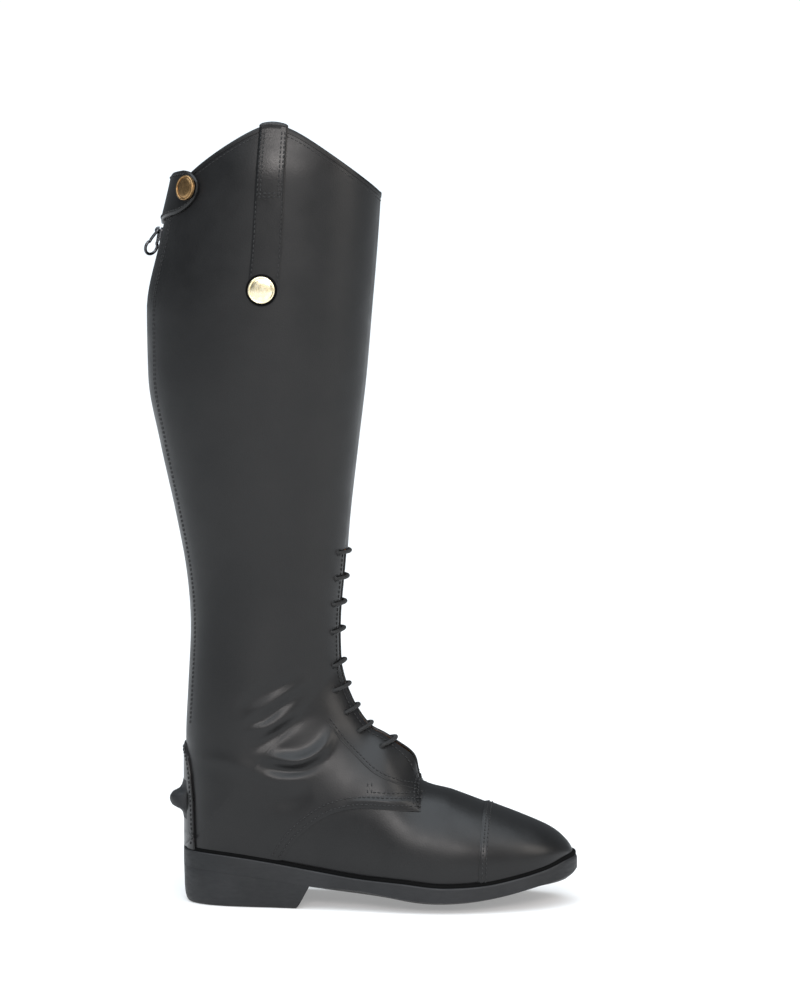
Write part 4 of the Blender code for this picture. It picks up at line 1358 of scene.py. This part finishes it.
    def heel(self) -> None:
        """Heel block: flush with the sole above it, drawn in to a smaller foot, with a slanting breast."""
        fine = np.linspace(5.0, self.last.heel_back, FINE)
        breast = float(np.interp(-self.heel_front, -self.last.surface(-1.0, fine)[:, 0], fine))
        s = np.concatenate([np.linspace(breast, self.heel_start, 70), self.heel_places()])
        top = np.maximum(self.last.section(s)["sole"], 0.0) + self.heel_sunk
        middle = self.middle(s)
        forms = []
        for side in Side:
            plan = self.edge(s, side, self.margin)
            rows = [self.drawn_in(middle, plan, top, drop, 1.0, inset) for drop, inset in self.heel_edge]
            high, low = (self.drawn_in(middle, plan, top, drop, 0.0, 0.0) for drop in (0.0, 1.0))
            forms.append(Form.of_grid(np.stack([high, *rows, low], axis=1)))
            face = [[self.drawn_in(middle, plan, top, drop, wide, inset)[0] for wide in (0.0, 0.5, 1.0)]
                    for drop, inset in self.heel_edge]
            forms.append(Form.of_grid(np.array(face)))
        make_piece("heel_block", Form.joined(forms), self.kit.sole, replaces=("heel",), sharp=35.0)

    def drawn_in(self, middle: Array, plan: Array, top: Array, drop: float, wide: float, inset: float
                 ) -> Array:
        """Points of the heel at a share of its height and of its width: the plan shrinks towards its foot.

        Args:
            middle: x and y of the middle line.
            plan: x and y of the edge under the sole.
            top: heights of the heel's top.
            drop: share of the height, from the top down.
            wide: share from the middle to the edge.
            inset: millimetres that the edge is set in.

        Returns:
            Points.
        """
        back = plan[-1, 0]
        at = middle + (plan - middle) * wide
        share = (at[:, 0] - back) / (self.heel_front - back)
        foot_x = self.heel_foot[0] + (self.heel_foot[1] - self.heel_foot[0]) * share
        x = at[:, 0] + (foot_x - at[:, 0]) * drop
        y = at[:, 1] * (1.0 + (self.heel_taper - 1.0) * drop)
        centre_x = 0.5 * (self.heel_foot[0] + self.heel_foot[1])
        reach = unit(np.column_stack([0.6 * (x - centre_x), y]))
        x, y = x - reach[:, 0] * inset, y - reach[:, 1] * inset
        return np.column_stack([x, y, top * (1.0 - drop)])

    def insole(self) -> None:
        """Insole: a tan sheet on the sole inside the wall, with a rounded edge."""
        s = np.linspace(0.8, self.last.heel_back - 0.3, 150)
        low, inset = self.last.section(s)["back_z"], np.full_like(s, -self.insole_inset)
        high, (wide, slim) = low + self.insole_thick, self.insole_round
        levels = [(inset - wide, high), (inset - slim, high - slim), (inset, high - wide), (inset, low)]
        make_piece("insole_leather", self.halves(s, levels, (high, low)), self.kit.lining,
                   replaces=("insole",))

    def build(self) -> None:
        """All pieces of the sole."""
        self.outsole()
        self.shadow_strip()
        self.heel()
        self.insole()


@dataclass
class HeelPieces:
    """Counter cover round the back of the heel, and the spur rest on it."""

    upper: Upper
    crown: float = 106.5
    foot: float = 36.6
    farthest: float = 10.6
    front_z: tuple[float, ...] = (40.0, 70.8, 87.6, 107.0)
    front_x: tuple[float, ...] = (12.0, 11.0, 9.3, 5.2)
    clear: float = 0.3
    thick: float = 1.5
    corner: float = 9.0
    edge_round: float = 0.7
    sunk: float = 0.5
    foot_gap: float = 0.4
    top_rows: tuple[float, float] = (3.0, 5.2)
    side_row: float = 0.9
    spur_reach: float = 0.13
    spur_profile: tuple[tuple[float, float], ...] = (
        (56.0, 0.1), (59.5, 0.8), (61.6, 2.6), (62.8, 5.4), (64.2, 8.0), (66.2, 9.2), (68.2, 9.6),
        (70.2, 9.2), (72.0, 7.8), (73.2, 5.4), (74.8, 3.0), (77.5, 1.2), (82.0, 0.1))

    def slice_at(self, c: Array, z: Array) -> tuple[Array, Array]:
        """Columns and places at a share c round the back (0 seam, -1 and 1 front edges) and a height z.

        A level slice of the heel starts at the seam and goes to lower places as the square of the share; the
        front edge is where it meets a line given in the side view.

        Args:
            c: shares.
            z: heights.

        Returns:
            Columns and places.
        """
        last = self.upper.last

        def along(height: Array, share: Array) -> tuple[Array, Array]:
            """Columns and places at shares of the slice from the seam to the farthest place."""
            seam = last.place_for(height, 1.0, last.heel_back, last.zip_foot + 1.0)
            s = seam - (seam - self.farthest) * share ** 2
            return last.column_for(height, s), s

        level, share = np.linspace(self.foot, self.crown, 40), np.linspace(0.0, 1.0, 160)
        x = last.surface(*along(level[:, None], share))[..., 0]
        front = np.interp(level, self.front_z, self.front_x)
        reach = np.array([np.interp(goal, row, share) for goal, row in zip(front, x)])
        t, s = along(z, np.abs(c) * np.interp(z, level, reach))
        return np.where(c < 0.0, -1.0, 1.0) * t, s

    def over(self, c: Array, z: Array, height: Array | float) -> tuple[Array, Array]:
        """Points over the quarters at shares round the back and heights over the floor.

        Args:
            c: shares round the back.
            z: heights over the floor.
            height: millimetres over the quarters' leather.

        Returns:
            Points and normals.
        """
        t, s = self.slice_at(c, z)
        n = self.upper.last.normal(t, s)
        height = np.broadcast_to(self.upper.last.quarter_step + height, t.shape)
        return self.upper.last.surface(t, s) + n * height[..., None], n

    def row(self, c: Array, z: Array) -> Form:
        """Stitches on the counter along shares round the back and heights."""
        return self.upper.thread.along(*self.over(c, z, self.clear + self.thick))

    def build(self) -> None:
        """Counter, its stitching and the spur rest."""
        c = np.sin(np.linspace(-np.pi / 2, np.pi / 2, 81))
        share = np.concatenate([np.linspace(0.0, 0.96, 40), [0.98, 0.992, 1.0]])[:, None]
        top = self.crown - self.corner * np.abs(c) ** 6
        z = self.foot + self.foot_gap + (top - self.foot - self.foot_gap) * share
        edge = np.maximum(smooth(0.97, 1.0, share), smooth(0.985, 1.0, np.abs(c)))
        outer, _ = self.over(c, z, self.clear + self.thick - self.edge_round * edge)
        inner, _ = self.over(c, z, -self.sunk)
        kit = self.upper.kit
        make_piece("counter_cover", sheet(outer, inner), kit.trim, replaces=("heel_counter",))
        rows = []
        for inset in self.top_rows:
            u = np.linspace(-1.0, 1.0, 120)
            level = self.crown - inset - self.corner * np.abs(u) ** 6
            rows.append(self.row(u * 0.93, level))
        for side in Side:
            level = np.linspace(self.foot + 3.0, self.crown - self.corner, 60)
            rows.append(self.row(0.0 * level + side.value * self.side_row, level))
        make_piece("counter_stitching", Form.joined(rows), kit.thread, sharp=80.0)
        self.spur_rest()

    def spur_rest(self) -> None:
        """Spur rest: a ledge whose profile of height and reach is carried round the back and dies out."""
        profile = np.array(self.spur_profile)
        level = np.interp(np.linspace(0, 1, 34), np.linspace(0, 1, len(profile)), profile[:, 0])
        proud = np.interp(level, profile[:, 0], profile[:, 1])
        u = np.linspace(-1.0, 1.0, 41)
        side = np.where(u < 0.0, -1.0, 1.0)
        t = side * (1.0 - self.spur_reach * np.abs(u)) + 0.0 * level[:, None]
        s = self.upper.last.place_for(level[:, None] + 0.0 * u, t)
        n = self.upper.last.normal(t, s)
        base = self.upper.last.surface(t, s)
        seat = self.upper.last.quarter_step + self.clear + self.thick
        fall = np.clip(1.0 - np.abs(u) ** 2.6, 0.0, 1.0) ** 0.7
        outer = base + n * (seat + np.outer(proud, fall))[..., None]
        make_piece("spur_ledge", sheet(outer, base + n * (seat - 1.0)), self.upper.kit.sole,
                   replaces=("spur_rest",), sharp=60.0)


@dataclass
class PeakStrap:
    """Strap over the collar's outer peak with its double stitching and plain brass stud."""

    upper: Upper
    foot: float = 400.0
    foot_round: float = 10.0
    half: float = 0.04
    clear: float = 0.1
    thick: float = 1.5
    edge_round: float = 0.6
    sunk: float = 0.4
    under_collar: float = 0.004
    hood_wide: float = 1.7
    hood_tall: float = 0.4
    hood_rise: float = 0.3
    hood_back: float = 0.5
    turn_in: float = 24.0
    button_z: float = 410.0
    button_column: float = -0.486
    button_radius: float = 8.8
    # Profile and top of a near-black ring round the stud's foot: a painted shadow under the stud
    shadow_ring_profile: tuple[tuple[float, float], ...] = ((1.5, -0.3), (1.5, 0.25), (1.0, 0.6), (-0.5, 0.5))
    shadow_ring_top: float = 0.45
    sewn_to: float = 470.0
    row_step: float = 2.4
    double_rows: tuple[float, ...] = (-0.8, -0.58, 0.8, 0.58)
    single_rows: tuple[float, ...] = (-0.86, 0.86)
    single_sunk: float = 0.15

    def place(self, z: Array) -> Array:
        """Places of heights on the shaft."""
        last = self.upper.last
        return last.place_for(z, -last.peak_column, last.shaft_low)

    def width(self, z: Array) -> Array:
        """Half width in columns: even, and rounded at the strap's foot."""
        down = np.clip((self.foot + self.foot_round - z) / self.foot_round, 0.0, 1.0)
        return self.half * np.sqrt(np.clip(1.0 - down ** 2, 0.0, 1.0)) + 1e-4

    def layer(self, height: float) -> Array:
        """One face of the strap: up the outside, over the collar in a half circle, and down the inside.

        Args:
            height: millimetres over the leather.

        Returns:
            A grid of points.
        """
        last = self.upper.last
        centre = -last.peak_column
        peak = last.topline(np.array(centre))
        u = np.linspace(-1.0, 1.0, 25)
        edge = self.edge_round * smooth(0.86, 1.0, np.abs(u)) * (height > self.clear)
        z = self.foot + (peak - self.foot - 1.0) * np.linspace(0.0, 1.0, 70) ** 1.3
        t = centre + self.width(z)[:, None] * u
        s = np.minimum(self.place(z)[:, None] + 0.0 * u, last.collar(t) - self.under_collar)
        n = last.normal(t, s)
        outside = last.surface(t, s) + n * (last.quarter_step + height - edge + 0.0 * t)[..., None]
        t = centre + self.half * u
        s = last.collar(t)
        n, top = last.normal(t, s), last.surface(t, s)
        a = np.linspace(0.0, np.pi, 13)[:, None, None]
        hood = height - edge[:, None] + self.hood_back
        sideways = n * (-self.hood_back + (self.hood_wide + hood) * np.cos(a))
        over = top + sideways + UP * (self.hood_rise + (self.hood_tall + hood) * np.sin(a))
        down = self.place(peak - np.linspace(1.0, self.turn_in, 12))
        s = np.minimum(down[:, None] + 0.0 * u, last.collar(t) - self.under_collar)
        depth = self.upper.lining_depth[1] + height - edge
        inside = last.surface(t, s) - last.normal(t, s) * depth[..., None]
        return np.vstack([outside, over, inside])

    def build(self) -> None:
        """Strap, stitching and stud."""
        kit, last = self.upper.kit, self.upper.last
        seat = self.clear + self.thick
        form = sheet(self.layer(seat), self.layer(self.clear - self.sunk))
        make_piece("strap", form, kit.trim, replaces=("peak_strap",))
        top = float(last.topline(np.array(-last.peak_column))) - 4.0
        sewn = np.linspace(self.sewn_to, top, 90)
        loose = np.linspace(self.foot + 12.0, self.sewn_to - 2.0, 90)
        across = np.linspace(-0.8, 0.8, 20)
        rows = [self.row(share + 0.0 * sewn, sewn, seat) for share in self.double_rows]
        rows += [self.row(across, self.sewn_to + step + 0.0 * across, seat) for step in (0.0, self.row_step)]
        rows += [self.row(share + 0.0 * loose, loose, seat - self.single_sunk) for share in self.single_rows]
        make_piece("strap_stitching", Form.joined(rows), kit.thread, sharp=80.0)
        spot = Spot.on(last, self.button_column, float(self.place(np.array(self.button_z))),
                       last.quarter_step + seat)
        make_piece("strap_stud", spot.turned(stud_profile(self.button_radius)), kit.brass,
                   replaces=("strap_button",), sharp=50.0)
        # A near-black ring round the stud's foot paints the stud's shadow on the strap
        shadow_ring = [(self.button_radius + past, height) for past, height in self.shadow_ring_profile]
        make_piece("stud_shadow_ring", spot.turned(shadow_ring + [(0.0, self.shadow_ring_top)]), kit.shade)

    def row(self, share: Array, z: Array, height: float) -> Form:
        """Stitches on the strap along shares of its half width and heights over the floor."""
        t = -self.upper.last.peak_column + self.half * share
        return self.upper.thread.along(*self.upper.on_quarter(t, self.place(z), height))


def stud_profile(radius: float) -> list[tuple[float, float]]:
    """Profile of a flat stud: straight side, rolled rim (a half circle), shallow groove and low dome.

    Args:
        radius: the stud's radius.

    Returns:
        Pairs of radius and height, from the foot to the middle of the top.
    """
    rim = [(radius - 0.7 + 0.7 * math.cos(a), 1.9 + 0.7 * math.sin(a)) for a in np.linspace(0.0, np.pi, 9)]
    dome = [(radius * r, 2.0 + 0.75 * math.sqrt(1.0 - (r / 0.8) ** 2)) for r in np.linspace(0.8, 0.0, 12)]
    return [(radius * 0.9, 0.0), (radius, 0.35)] + rim + dome


@dataclass
class SnapTab:
    """Tab round the top of the zip, with its edge stitching and the snap on the outer side."""

    upper: Upper
    reach: float = 0.28
    low_back: float = 452.0
    low_end: float = 461.0
    over_collar: float = 0.5
    rise: float = 4.0
    clear: float = 0.6
    thick: float = 2.0
    edge_round: float = 0.8
    sunk: float = 0.3
    end: float = 0.62
    rows: tuple[float, float] = (0.09, 0.91)
    snap_column: float = -0.77
    snap_z: float = 475.5
    snap_radius: float = 8.2

    def grid(self, c: Array, share: Array, height: Array) -> tuple[Array, Array]:
        """Points of the tab at shares along it (outer end -1, back 0, inner end 1) and up it.

        The outer end is a half ellipse; the lower edge runs down to the back.

        Args:
            c: shares along the tab.
            share: shares from the lower to the upper edge.
            height: millimetres over the leather.

        Returns:
            Points and normals.
        """
        last = self.upper.last
        t = np.where(c < 0.0, -1.0, 1.0) * (1.0 - self.reach * np.abs(c))
        low = self.low_back + (self.low_end - self.low_back) * np.abs(c) ** 0.8
        outer, inner = last.topline_back + self.rise * np.abs(c), last.topline(np.abs(t))
        high = np.where(c < 0.0, outer, inner) + self.over_collar
        past = np.clip((-c - self.end) / (1.0 - self.end), 0.0, 1.0)
        squeeze = np.sqrt(np.clip(1.0 - past ** 2, 0.0, 1.0))
        z = 0.5 * (low + high) + (high - low) * (share - 0.5) * squeeze
        s = last.place_for(z, t, last.shaft_low)
        n = last.normal(t, s)
        lift = np.broadcast_to(last.quarter_step + height, t.shape if np.ndim(share) == 0 else z.shape)
        return last.surface(t, s) + n * lift[..., None], n

    def build(self) -> None:
        """Tab, stitching and snap."""
        kit, last = self.upper.kit, self.upper.last
        c = np.concatenate([-1.0 + 0.38 * np.linspace(0.0, 1.0, 30) ** 1.7, np.linspace(-0.6, 1.0, 60)])
        share = np.concatenate([(0.0, 0.012, 0.035), np.linspace(0.07, 0.93, 22), (0.965, 0.988, 1.0)])
        share, seat = share[:, None], self.clear + self.thick
        edge = self.edge_round * np.maximum(1.0 - smooth(0.0, 0.06, np.minimum(share, 1.0 - share)),
                                            smooth(0.985, 1.0, np.abs(c)))
        outer, _ = self.grid(c, share, seat - edge)
        inner, _ = self.grid(c, share, np.full_like(edge, self.clear - self.sunk))
        make_piece("tab", sheet(outer, inner), kit.trim, replaces=("snap_tab",))
        u = np.linspace(-0.955, 0.95, 160)
        rows = [self.upper.thread.along(*self.grid(u, inset + 0.0 * u, seat + 0.0 * u))
                for inset in self.rows]
        make_piece("tab_stitching", Form.joined(rows), kit.thread, sharp=80.0)
        place = float(last.place_for(np.array(self.snap_z), np.array(self.snap_column), last.shaft_low))
        spot = Spot.on(last, self.snap_column, place, last.quarter_step + seat)
        make_piece("snap", spot.turned(stud_profile(self.snap_radius)), kit.bronze,
                   replaces=("snap_button",), sharp=50.0)


@dataclass
class ZipFastener:
    """Back zip: woven tape, two rows of teeth, slider with its arch, and the hinged pull."""

    upper: Upper
    hinge: Array
    tape_edge: float = 0.92
    tape_depth: tuple[float, float] = (2.5, 3.6)
    pitch: float = 2.5
    tooth: tuple[float, float, float] = (4.2, 1.5, 1.7)
    tooth_rings: int = 6
    tooth_sides: int = 8
    tooth_swell: float = 1.08
    chain_depth: float = -1.2
    chain_past: float = 5.0
    tape_past: float = 0.6
    slider_z: float = 445.5
    slider_lift: float = 0.7
    slider_size: tuple[float, float, float] = (7.6, 9.0, 2.0)
    slider_corner: float = 0.45
    hinge_up: float = 2.0
    arch_radius: float = 0.85
    arch_clear: float = 0.75
    wire: float = 1.0
    pull_bar: float = 2.8
    pull_ring: float = 5.0
    pull_sweep: tuple[float, float] = (50.0, -230.0)
    pull_length: float = 17.0
    pull_twist: float = math.radians(38.0)
    pull_tilt: float = math.radians(11.0)

    def seat(self) -> Spot:
        """The spot on the back seam that carries slider and pull."""
        last = self.upper.last
        place = float(last.place_for(np.array(self.slider_z), 1.0, last.shaft_low))
        return Spot.on(last, 1.0, place, self.slider_lift)

    def tape(self) -> None:
        """Tape behind the slot, from below the counter's crown to the collar."""
        last = self.upper.last
        c = np.linspace(-1.0, 1.0, 31)
        t = np.where(c < 0.0, -1.0, 1.0) * (1.0 - (1.0 - self.tape_edge) * np.abs(c))
        low, high = last.zip_foot - self.tape_past, last.collar(np.abs(t)) - 0.05
        s = low + (high - low) * np.linspace(0.0, 1.0, 160)[:, None]
        base, n = last.surface(t, s), last.normal(t, s)
        form = sheet(base - n * self.tape_depth[0], base - n * self.tape_depth[1])
        make_piece("tape", form, self.upper.kit.tape, replaces=("zip_tape",))

    def teeth(self) -> None:
        """Teeth: rounded blocks at an even pitch, in turn from the left and the right, meshed in the middle.

        A tooth is a grid of share f across and angle a, with a squared-off round section.
        """
        last, (wide, tall, thick) = self.upper.last, self.tooth
        top = float(last.place_for(np.array(self.slider_z + self.chain_past), 1.0, last.shaft_low))
        s = np.linspace(last.zip_foot - 0.3, top, 600)
        path = last.surface(1.0, s) + last.normal(np.ones_like(s), s) * self.chain_depth
        run = run_of(path)
        spots = np.arange(self.pitch, run[-1], self.pitch / 2)
        place = np.interp(spots, run, s)
        out = last.normal(np.ones_like(place), place)
        across = np.broadcast_to(np.array((0.0, 1.0, 0.0)), out.shape)
        up = unit(np.cross(out, across))
        hand = np.where(np.arange(len(spots)) % 2 == 0, 1.0, -1.0)[:, None]
        middle = at_run(spots, run, path) + across * hand * 0.25 * wide
        f = np.linspace(-1.0, 1.0, self.tooth_rings)[:, None]
        a = np.arange(self.tooth_sides) * 2 * np.pi / self.tooth_sides + np.pi / self.tooth_sides
        girth = self.tooth_swell * (1.0 - f ** 6) ** 0.35
        local = np.stack(np.broadcast_arrays(f * wide / 2, girth * tall / 2 * np.cos(a),
                                             girth * thick / 2 * np.sin(a)), axis=-1)
        form = Form.copies(local, middle, np.stack([across, up, out], axis=1))
        make_piece("zip_teeth", form, self.upper.kit.zip_metal, replaces=("zip_chain",), sharp=60.0)

    def slider(self) -> None:
        """Slider: a body with rounded corners drawn in at its waist, and an arch for the pull."""
        spot, (wide, tall, thick) = self.seat(), self.slider_size
        u = np.linspace(0.0, 2 * np.pi, 49)[:-1]
        level = np.array(((0.86, 0.0), (0.97, 0.25), (1.0, 0.7), (1.0, 0.8 * thick), (0.95, 0.94 * thick),
                          (0.84, thick)))
        x = np.sign(np.cos(u)) * np.abs(np.cos(u)) ** self.slider_corner
        y = np.sign(np.sin(u)) * np.abs(np.sin(u)) ** self.slider_corner
        waist = 1.0 - 0.16 * np.exp(-((y + 0.35) / 0.4) ** 2)
        rings = np.stack([level[:, :1] * x * waist * wide / 2, level[:, :1] * y * tall / 2,
                          level[:, 1:] + 0.0 * u], axis=-1)
        a = np.linspace(-0.15, np.pi + 0.15, 25)
        reach, foot = self.wire + self.arch_clear, thick + 0.3 + self.wire
        centre = np.stack([0.0 * a, self.hinge_up + reach * np.cos(a), foot + reach * np.sin(a)], axis=-1)
        arch = tube(spot.put(centre), np.broadcast_to(spot.across, centre.shape), self.arch_radius, 8)
        make_piece("slider", Form.joined([swept(spot.put(rings)), arch]), self.upper.kit.zip_metal,
                   replaces=("zip_slider",))

    def pull(self) -> None:
        """Pull: a wire bent to a bar, a twisted neck and a ring, hanging from the hinge."""
        spot, centre = self.seat(), -self.pull_length + self.pull_ring
        sweep = np.radians(np.linspace(*self.pull_sweep, 15))
        ring = np.column_stack([self.pull_ring * np.cos(sweep), centre + self.pull_ring * np.sin(sweep)])
        flat = np.vstack([[(-self.pull_bar, 0.0), (0.0, 0.0), (self.pull_bar, 0.0)], ring])
        flat = curve(np.vstack([flat, flat[:1]]), 145)[:-1]
        twist = self.pull_twist * np.clip(flat[:, 1] / (centre + self.pull_ring), 0.0, 1.0)
        local = np.column_stack([flat[:, 0] * np.cos(twist), flat[:, 1], flat[:, 0] * np.sin(twist)])
        face = np.column_stack([-np.sin(twist), 0.0 * twist, np.cos(twist)])
        tip, lean = math.cos(self.pull_tilt), math.sin(self.pull_tilt)
        turn = np.array(((1.0, 0.0, 0.0), (0.0, tip, -lean), (0.0, lean, tip)))
        axes = np.stack([spot.across, spot.up, spot.out])
        path = local @ turn @ axes + self.hinge
        form = tube(path, face @ turn @ axes, self.wire, 12, closed=True)
        make_piece("pull_wire", form, self.upper.kit.zip_metal, PULL_BODY, ("zip_pull",))

    def build(self) -> None:
        """All pieces of the zip."""
        self.tape()
        self.teeth()
        self.slider()
        self.pull()


@dataclass
class Lace:
    """One elastic lace through both rows of eyelets, in straight bars, and the eyelets' rims."""

    upper: Upper
    heights: tuple[float, ...] = (236.0, 219.0, 202.0, 184.0, 162.5, 146.0, 131.0, 118.5, 108.5)
    reach: float = 20.0
    drop: float = 0.4
    radius: float = 1.35
    proud: float = 1.45
    sunk: float = -4.4
    dip: float = 0.8
    hole: int = 4
    rim: float = 2.1
    rim_wire: float = 0.45

    def bar(self, height: float, way: int) -> tuple[Array, Array, Array]:
        """One bar: columns across the throat, places, and heights, which dip into both holes.

        Args:
            height: height over the floor at the ridge.
            way: 1 to run from the outer to the inner side, -1 back.

        Returns:
            Columns, places and heights over the leather.
        """
        last = self.upper.last
        fine = np.linspace(last.derby_front, last.shaft_foot, FINE)
        middle = float(np.interp(height, last.surface(0.0, fine)[:, 2], fine))
        u = way * np.linspace(-1.0, 1.0, 41)
        t = float(last.column_at(self.reach, middle)) * u
        level = height - self.drop * (height - last.surface(t, middle)[:, 2])
        s = last.place_for(level, t, last.derby_front, last.shaft_foot)
        return t, s, self.proud + (self.sunk - self.proud) * smooth(self.dip, 1.0, np.abs(u))

    def build(self) -> None:
        """The lace, bar by bar with straight runs behind the facings, and the rims."""
        bars = [self.bar(height, 1 if k % 2 == 0 else -1) for k, height in enumerate(self.heights)]
        t, s, h = [bars[0][0]], [bars[0][1]], [bars[0][2]]
        for before, after in zip(bars[:-1], bars[1:]):
            f = np.linspace(0.0, 1.0, 10)[1:-1]
            t += [before[0][-1] + (after[0][0] - before[0][-1]) * f, after[0]]
            s += [before[1][-1] + (after[1][0] - before[1][-1]) * f, after[1]]
            h += [np.full_like(f, self.sunk), after[2]]
        t, s, h = (np.concatenate(parts) for parts in (t, s, h))
        last = self.upper.last
        n = last.normal(t, s)
        edge = last.throat_edge
        level = np.where(np.abs(t) < edge, np.sign(t + 1e-9) * edge, t)
        lift = last.quarter_lift(level, s) + h
        path = last.surface(t, s) + n * lift[:, None]
        names = [f"lace_bar_{k + 1}" for k in range(len(self.heights))]
        make_piece("lace", tube(path, n, self.radius, 10), self.upper.kit.cord, replaces=names)
        rims = [self.eyelet(end[0][k], end[1][k]) for end in bars for k in (self.hole, -self.hole - 1)]
        make_piece("eyelet_rims", Form.joined(rims), self.upper.kit.edge)

    def eyelet(self, t: float, s: float) -> Form:
        """Rim of one eyelet: a thin ring lying on the leather.

        Args:
            t: column of its middle.
            s: place of its middle.

        Returns:
            The rim.
        """
        spot = Spot.on(self.upper.last, t, s, float(self.upper.last.quarter_lift(t, s)))
        a = np.linspace(0.0, 2 * np.pi, 21)[:-1]
        ring = spot.put(np.stack([self.rim * np.cos(a), self.rim * np.sin(a), 0.0 * a], axis=-1))
        return tube(ring, np.broadcast_to(spot.out, ring.shape), self.rim_wire, 6, closed=True)


@dataclass
class Studio:
    """Pale floor, soft light and the camera at the photo's angle."""

    eye: tuple[float, float, float] = (0.19234, -2.18923, 0.4572)
    pitch: float = -4.858
    heading: float = 4.344
    lens: float = 119.69
    sensor: float = 36.0
    aim: tuple[float, float, float] = (0.0, 0.0, 0.22)
    floor_radius: float = 14000.0
    surround: float = 1.2
    ambient: float = 0.2
    sky_strength: float = 4.2
    sky_tint: Colour = (0.87, 0.94, 1.0)
    sky_angle: float = 84.0
    sky_turn: tuple[float, float, float] = (14.0, -8.0, 0.0)

    def camera(self) -> None:
        """The camera: level, turned a little to the heel and tipped down to the floor."""
        data = bpy.data.cameras.new("camera")
        data.lens = self.lens
        data.sensor_width = self.sensor
        made = add_object("camera", data)
        made.location = self.eye
        made.rotation_euler = (math.radians(90.0 + self.pitch), 0.0, math.radians(self.heading))
        bpy.context.scene.camera = made

    def floor(self) -> None:
        """A wide pale floor: a fine disc of rings and spokes."""
        angle = np.linspace(0.0, 2 * np.pi, 97)[:-1]
        radius = np.linspace(0.0, 1.0, 16)[1:] ** 2 * self.floor_radius
        rings = np.stack([radius[:, None] * np.cos(angle), radius[:, None] * np.sin(angle),
                          0.0 * radius[:, None] + 0.0 * angle], axis=-1)
        form = Form.of_grid(np.vstack([np.zeros((1, len(angle), 3)), rings]), round_columns=True)
        mesh = bpy.data.meshes.new("floor")
        mesh.from_pydata((form.points * MM).tolist(), [], form.faces.tolist())
        nodes = Nodes("pale floor")
        tone = nodes.span(nodes.noise(3.0, 2.0), 0.3, 0.7, (0.0, 1.0))
        nodes.fill(nodes.shader, {"Base Color": nodes.mix(tone, (0.60, 0.60, 0.60), (0.62, 0.62, 0.62)),
                                  "Roughness": 0.9, "Specular IOR Level": 0.1,
                                  "Emission Color": (1.0, 1.0, 1.0, 1.0), "Emission Strength": 0.3})
        mesh.materials.append(nodes.material)
        add_object("floor", mesh)

    def light(self, name: str, at: tuple[float, float, float], size: tuple[float, float], power: float,
              tint: Colour) -> None:
        """A soft box facing the middle of the boot.

        Args:
            name: the light's name.
            at: its place, in metres.
            size: its width and height, in metres.
            power: watts.
            tint: its colour.
        """
        data = bpy.data.lights.new(name, "AREA")
        data.color = tint
        data.shape = "RECTANGLE"
        data.size, data.size_y = size
        data.energy = power
        made = add_object(name, data)
        made.location = at
        made.rotation_euler = (Vector(self.aim) - Vector(at)).to_track_quat("-Z", "Y").to_euler()

    def sky(self) -> None:
        """A wide soft light straight from above and in front, so even that the floor stays white."""
        data = bpy.data.lights.new("sky", "SUN")
        data.energy = self.sky_strength
        data.color = self.sky_tint
        data.angle = math.radians(self.sky_angle)
        made = add_object("sky", data)
        made.rotation_euler = tuple(math.radians(a) for a in self.sky_turn)

    def world(self) -> None:
        """A white surround to the camera that lights the boot more dimly."""
        world = bpy.data.worlds.new("studio")
        world.use_nodes = True
        tree = world.node_tree
        seen = tree.nodes.new("ShaderNodeLightPath").outputs["Is Camera Ray"]
        strength = tree.nodes.new("ShaderNodeMapRange")
        strength.inputs["To Min"].default_value = self.ambient
        strength.inputs["To Max"].default_value = self.surround
        tree.links.new(seen, strength.inputs["Value"])
        tree.links.new(strength.outputs["Result"], tree.nodes["Background"].inputs["Strength"])
        tree.nodes["Background"].inputs["Color"].default_value = (*self.sky_tint, 1.0)
        bpy.context.scene.world = world
        bpy.context.scene.view_settings.view_transform = "Standard"

    def build(self) -> None:
        """The whole studio."""
        self.world()
        self.floor()
        self.sky()
        self.light("front", (0.4, -3.0, 1.55), (1.5, 0.6), 50.0, (1.0, 0.95, 0.93))
        self.light("side", (2.0, -0.9, 1.3), (1.0, 1.6), 24.0, (1.0, 0.94, 0.88))
        self.camera()


def main() -> None:
    """Build the boot's pieces in order, then the studio."""
    logging.basicConfig(level=logging.INFO, format="%(message)s")
    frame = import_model()
    last, kit = Last(), Finishes()
    hinge = np.array(frame["joints"][0]["pos_m"]) / MM + ORIGIN
    upper = Upper(last, kit)
    upper.build()
    Sole(last, kit).build()
    HeelPieces(upper).build()
    PeakStrap(upper).build()
    SnapTab(upper).build()
    ZipFastener(upper, hinge).build()
    Lace(upper).build()
    Studio().build()


if __name__ == "__main__":
    main()
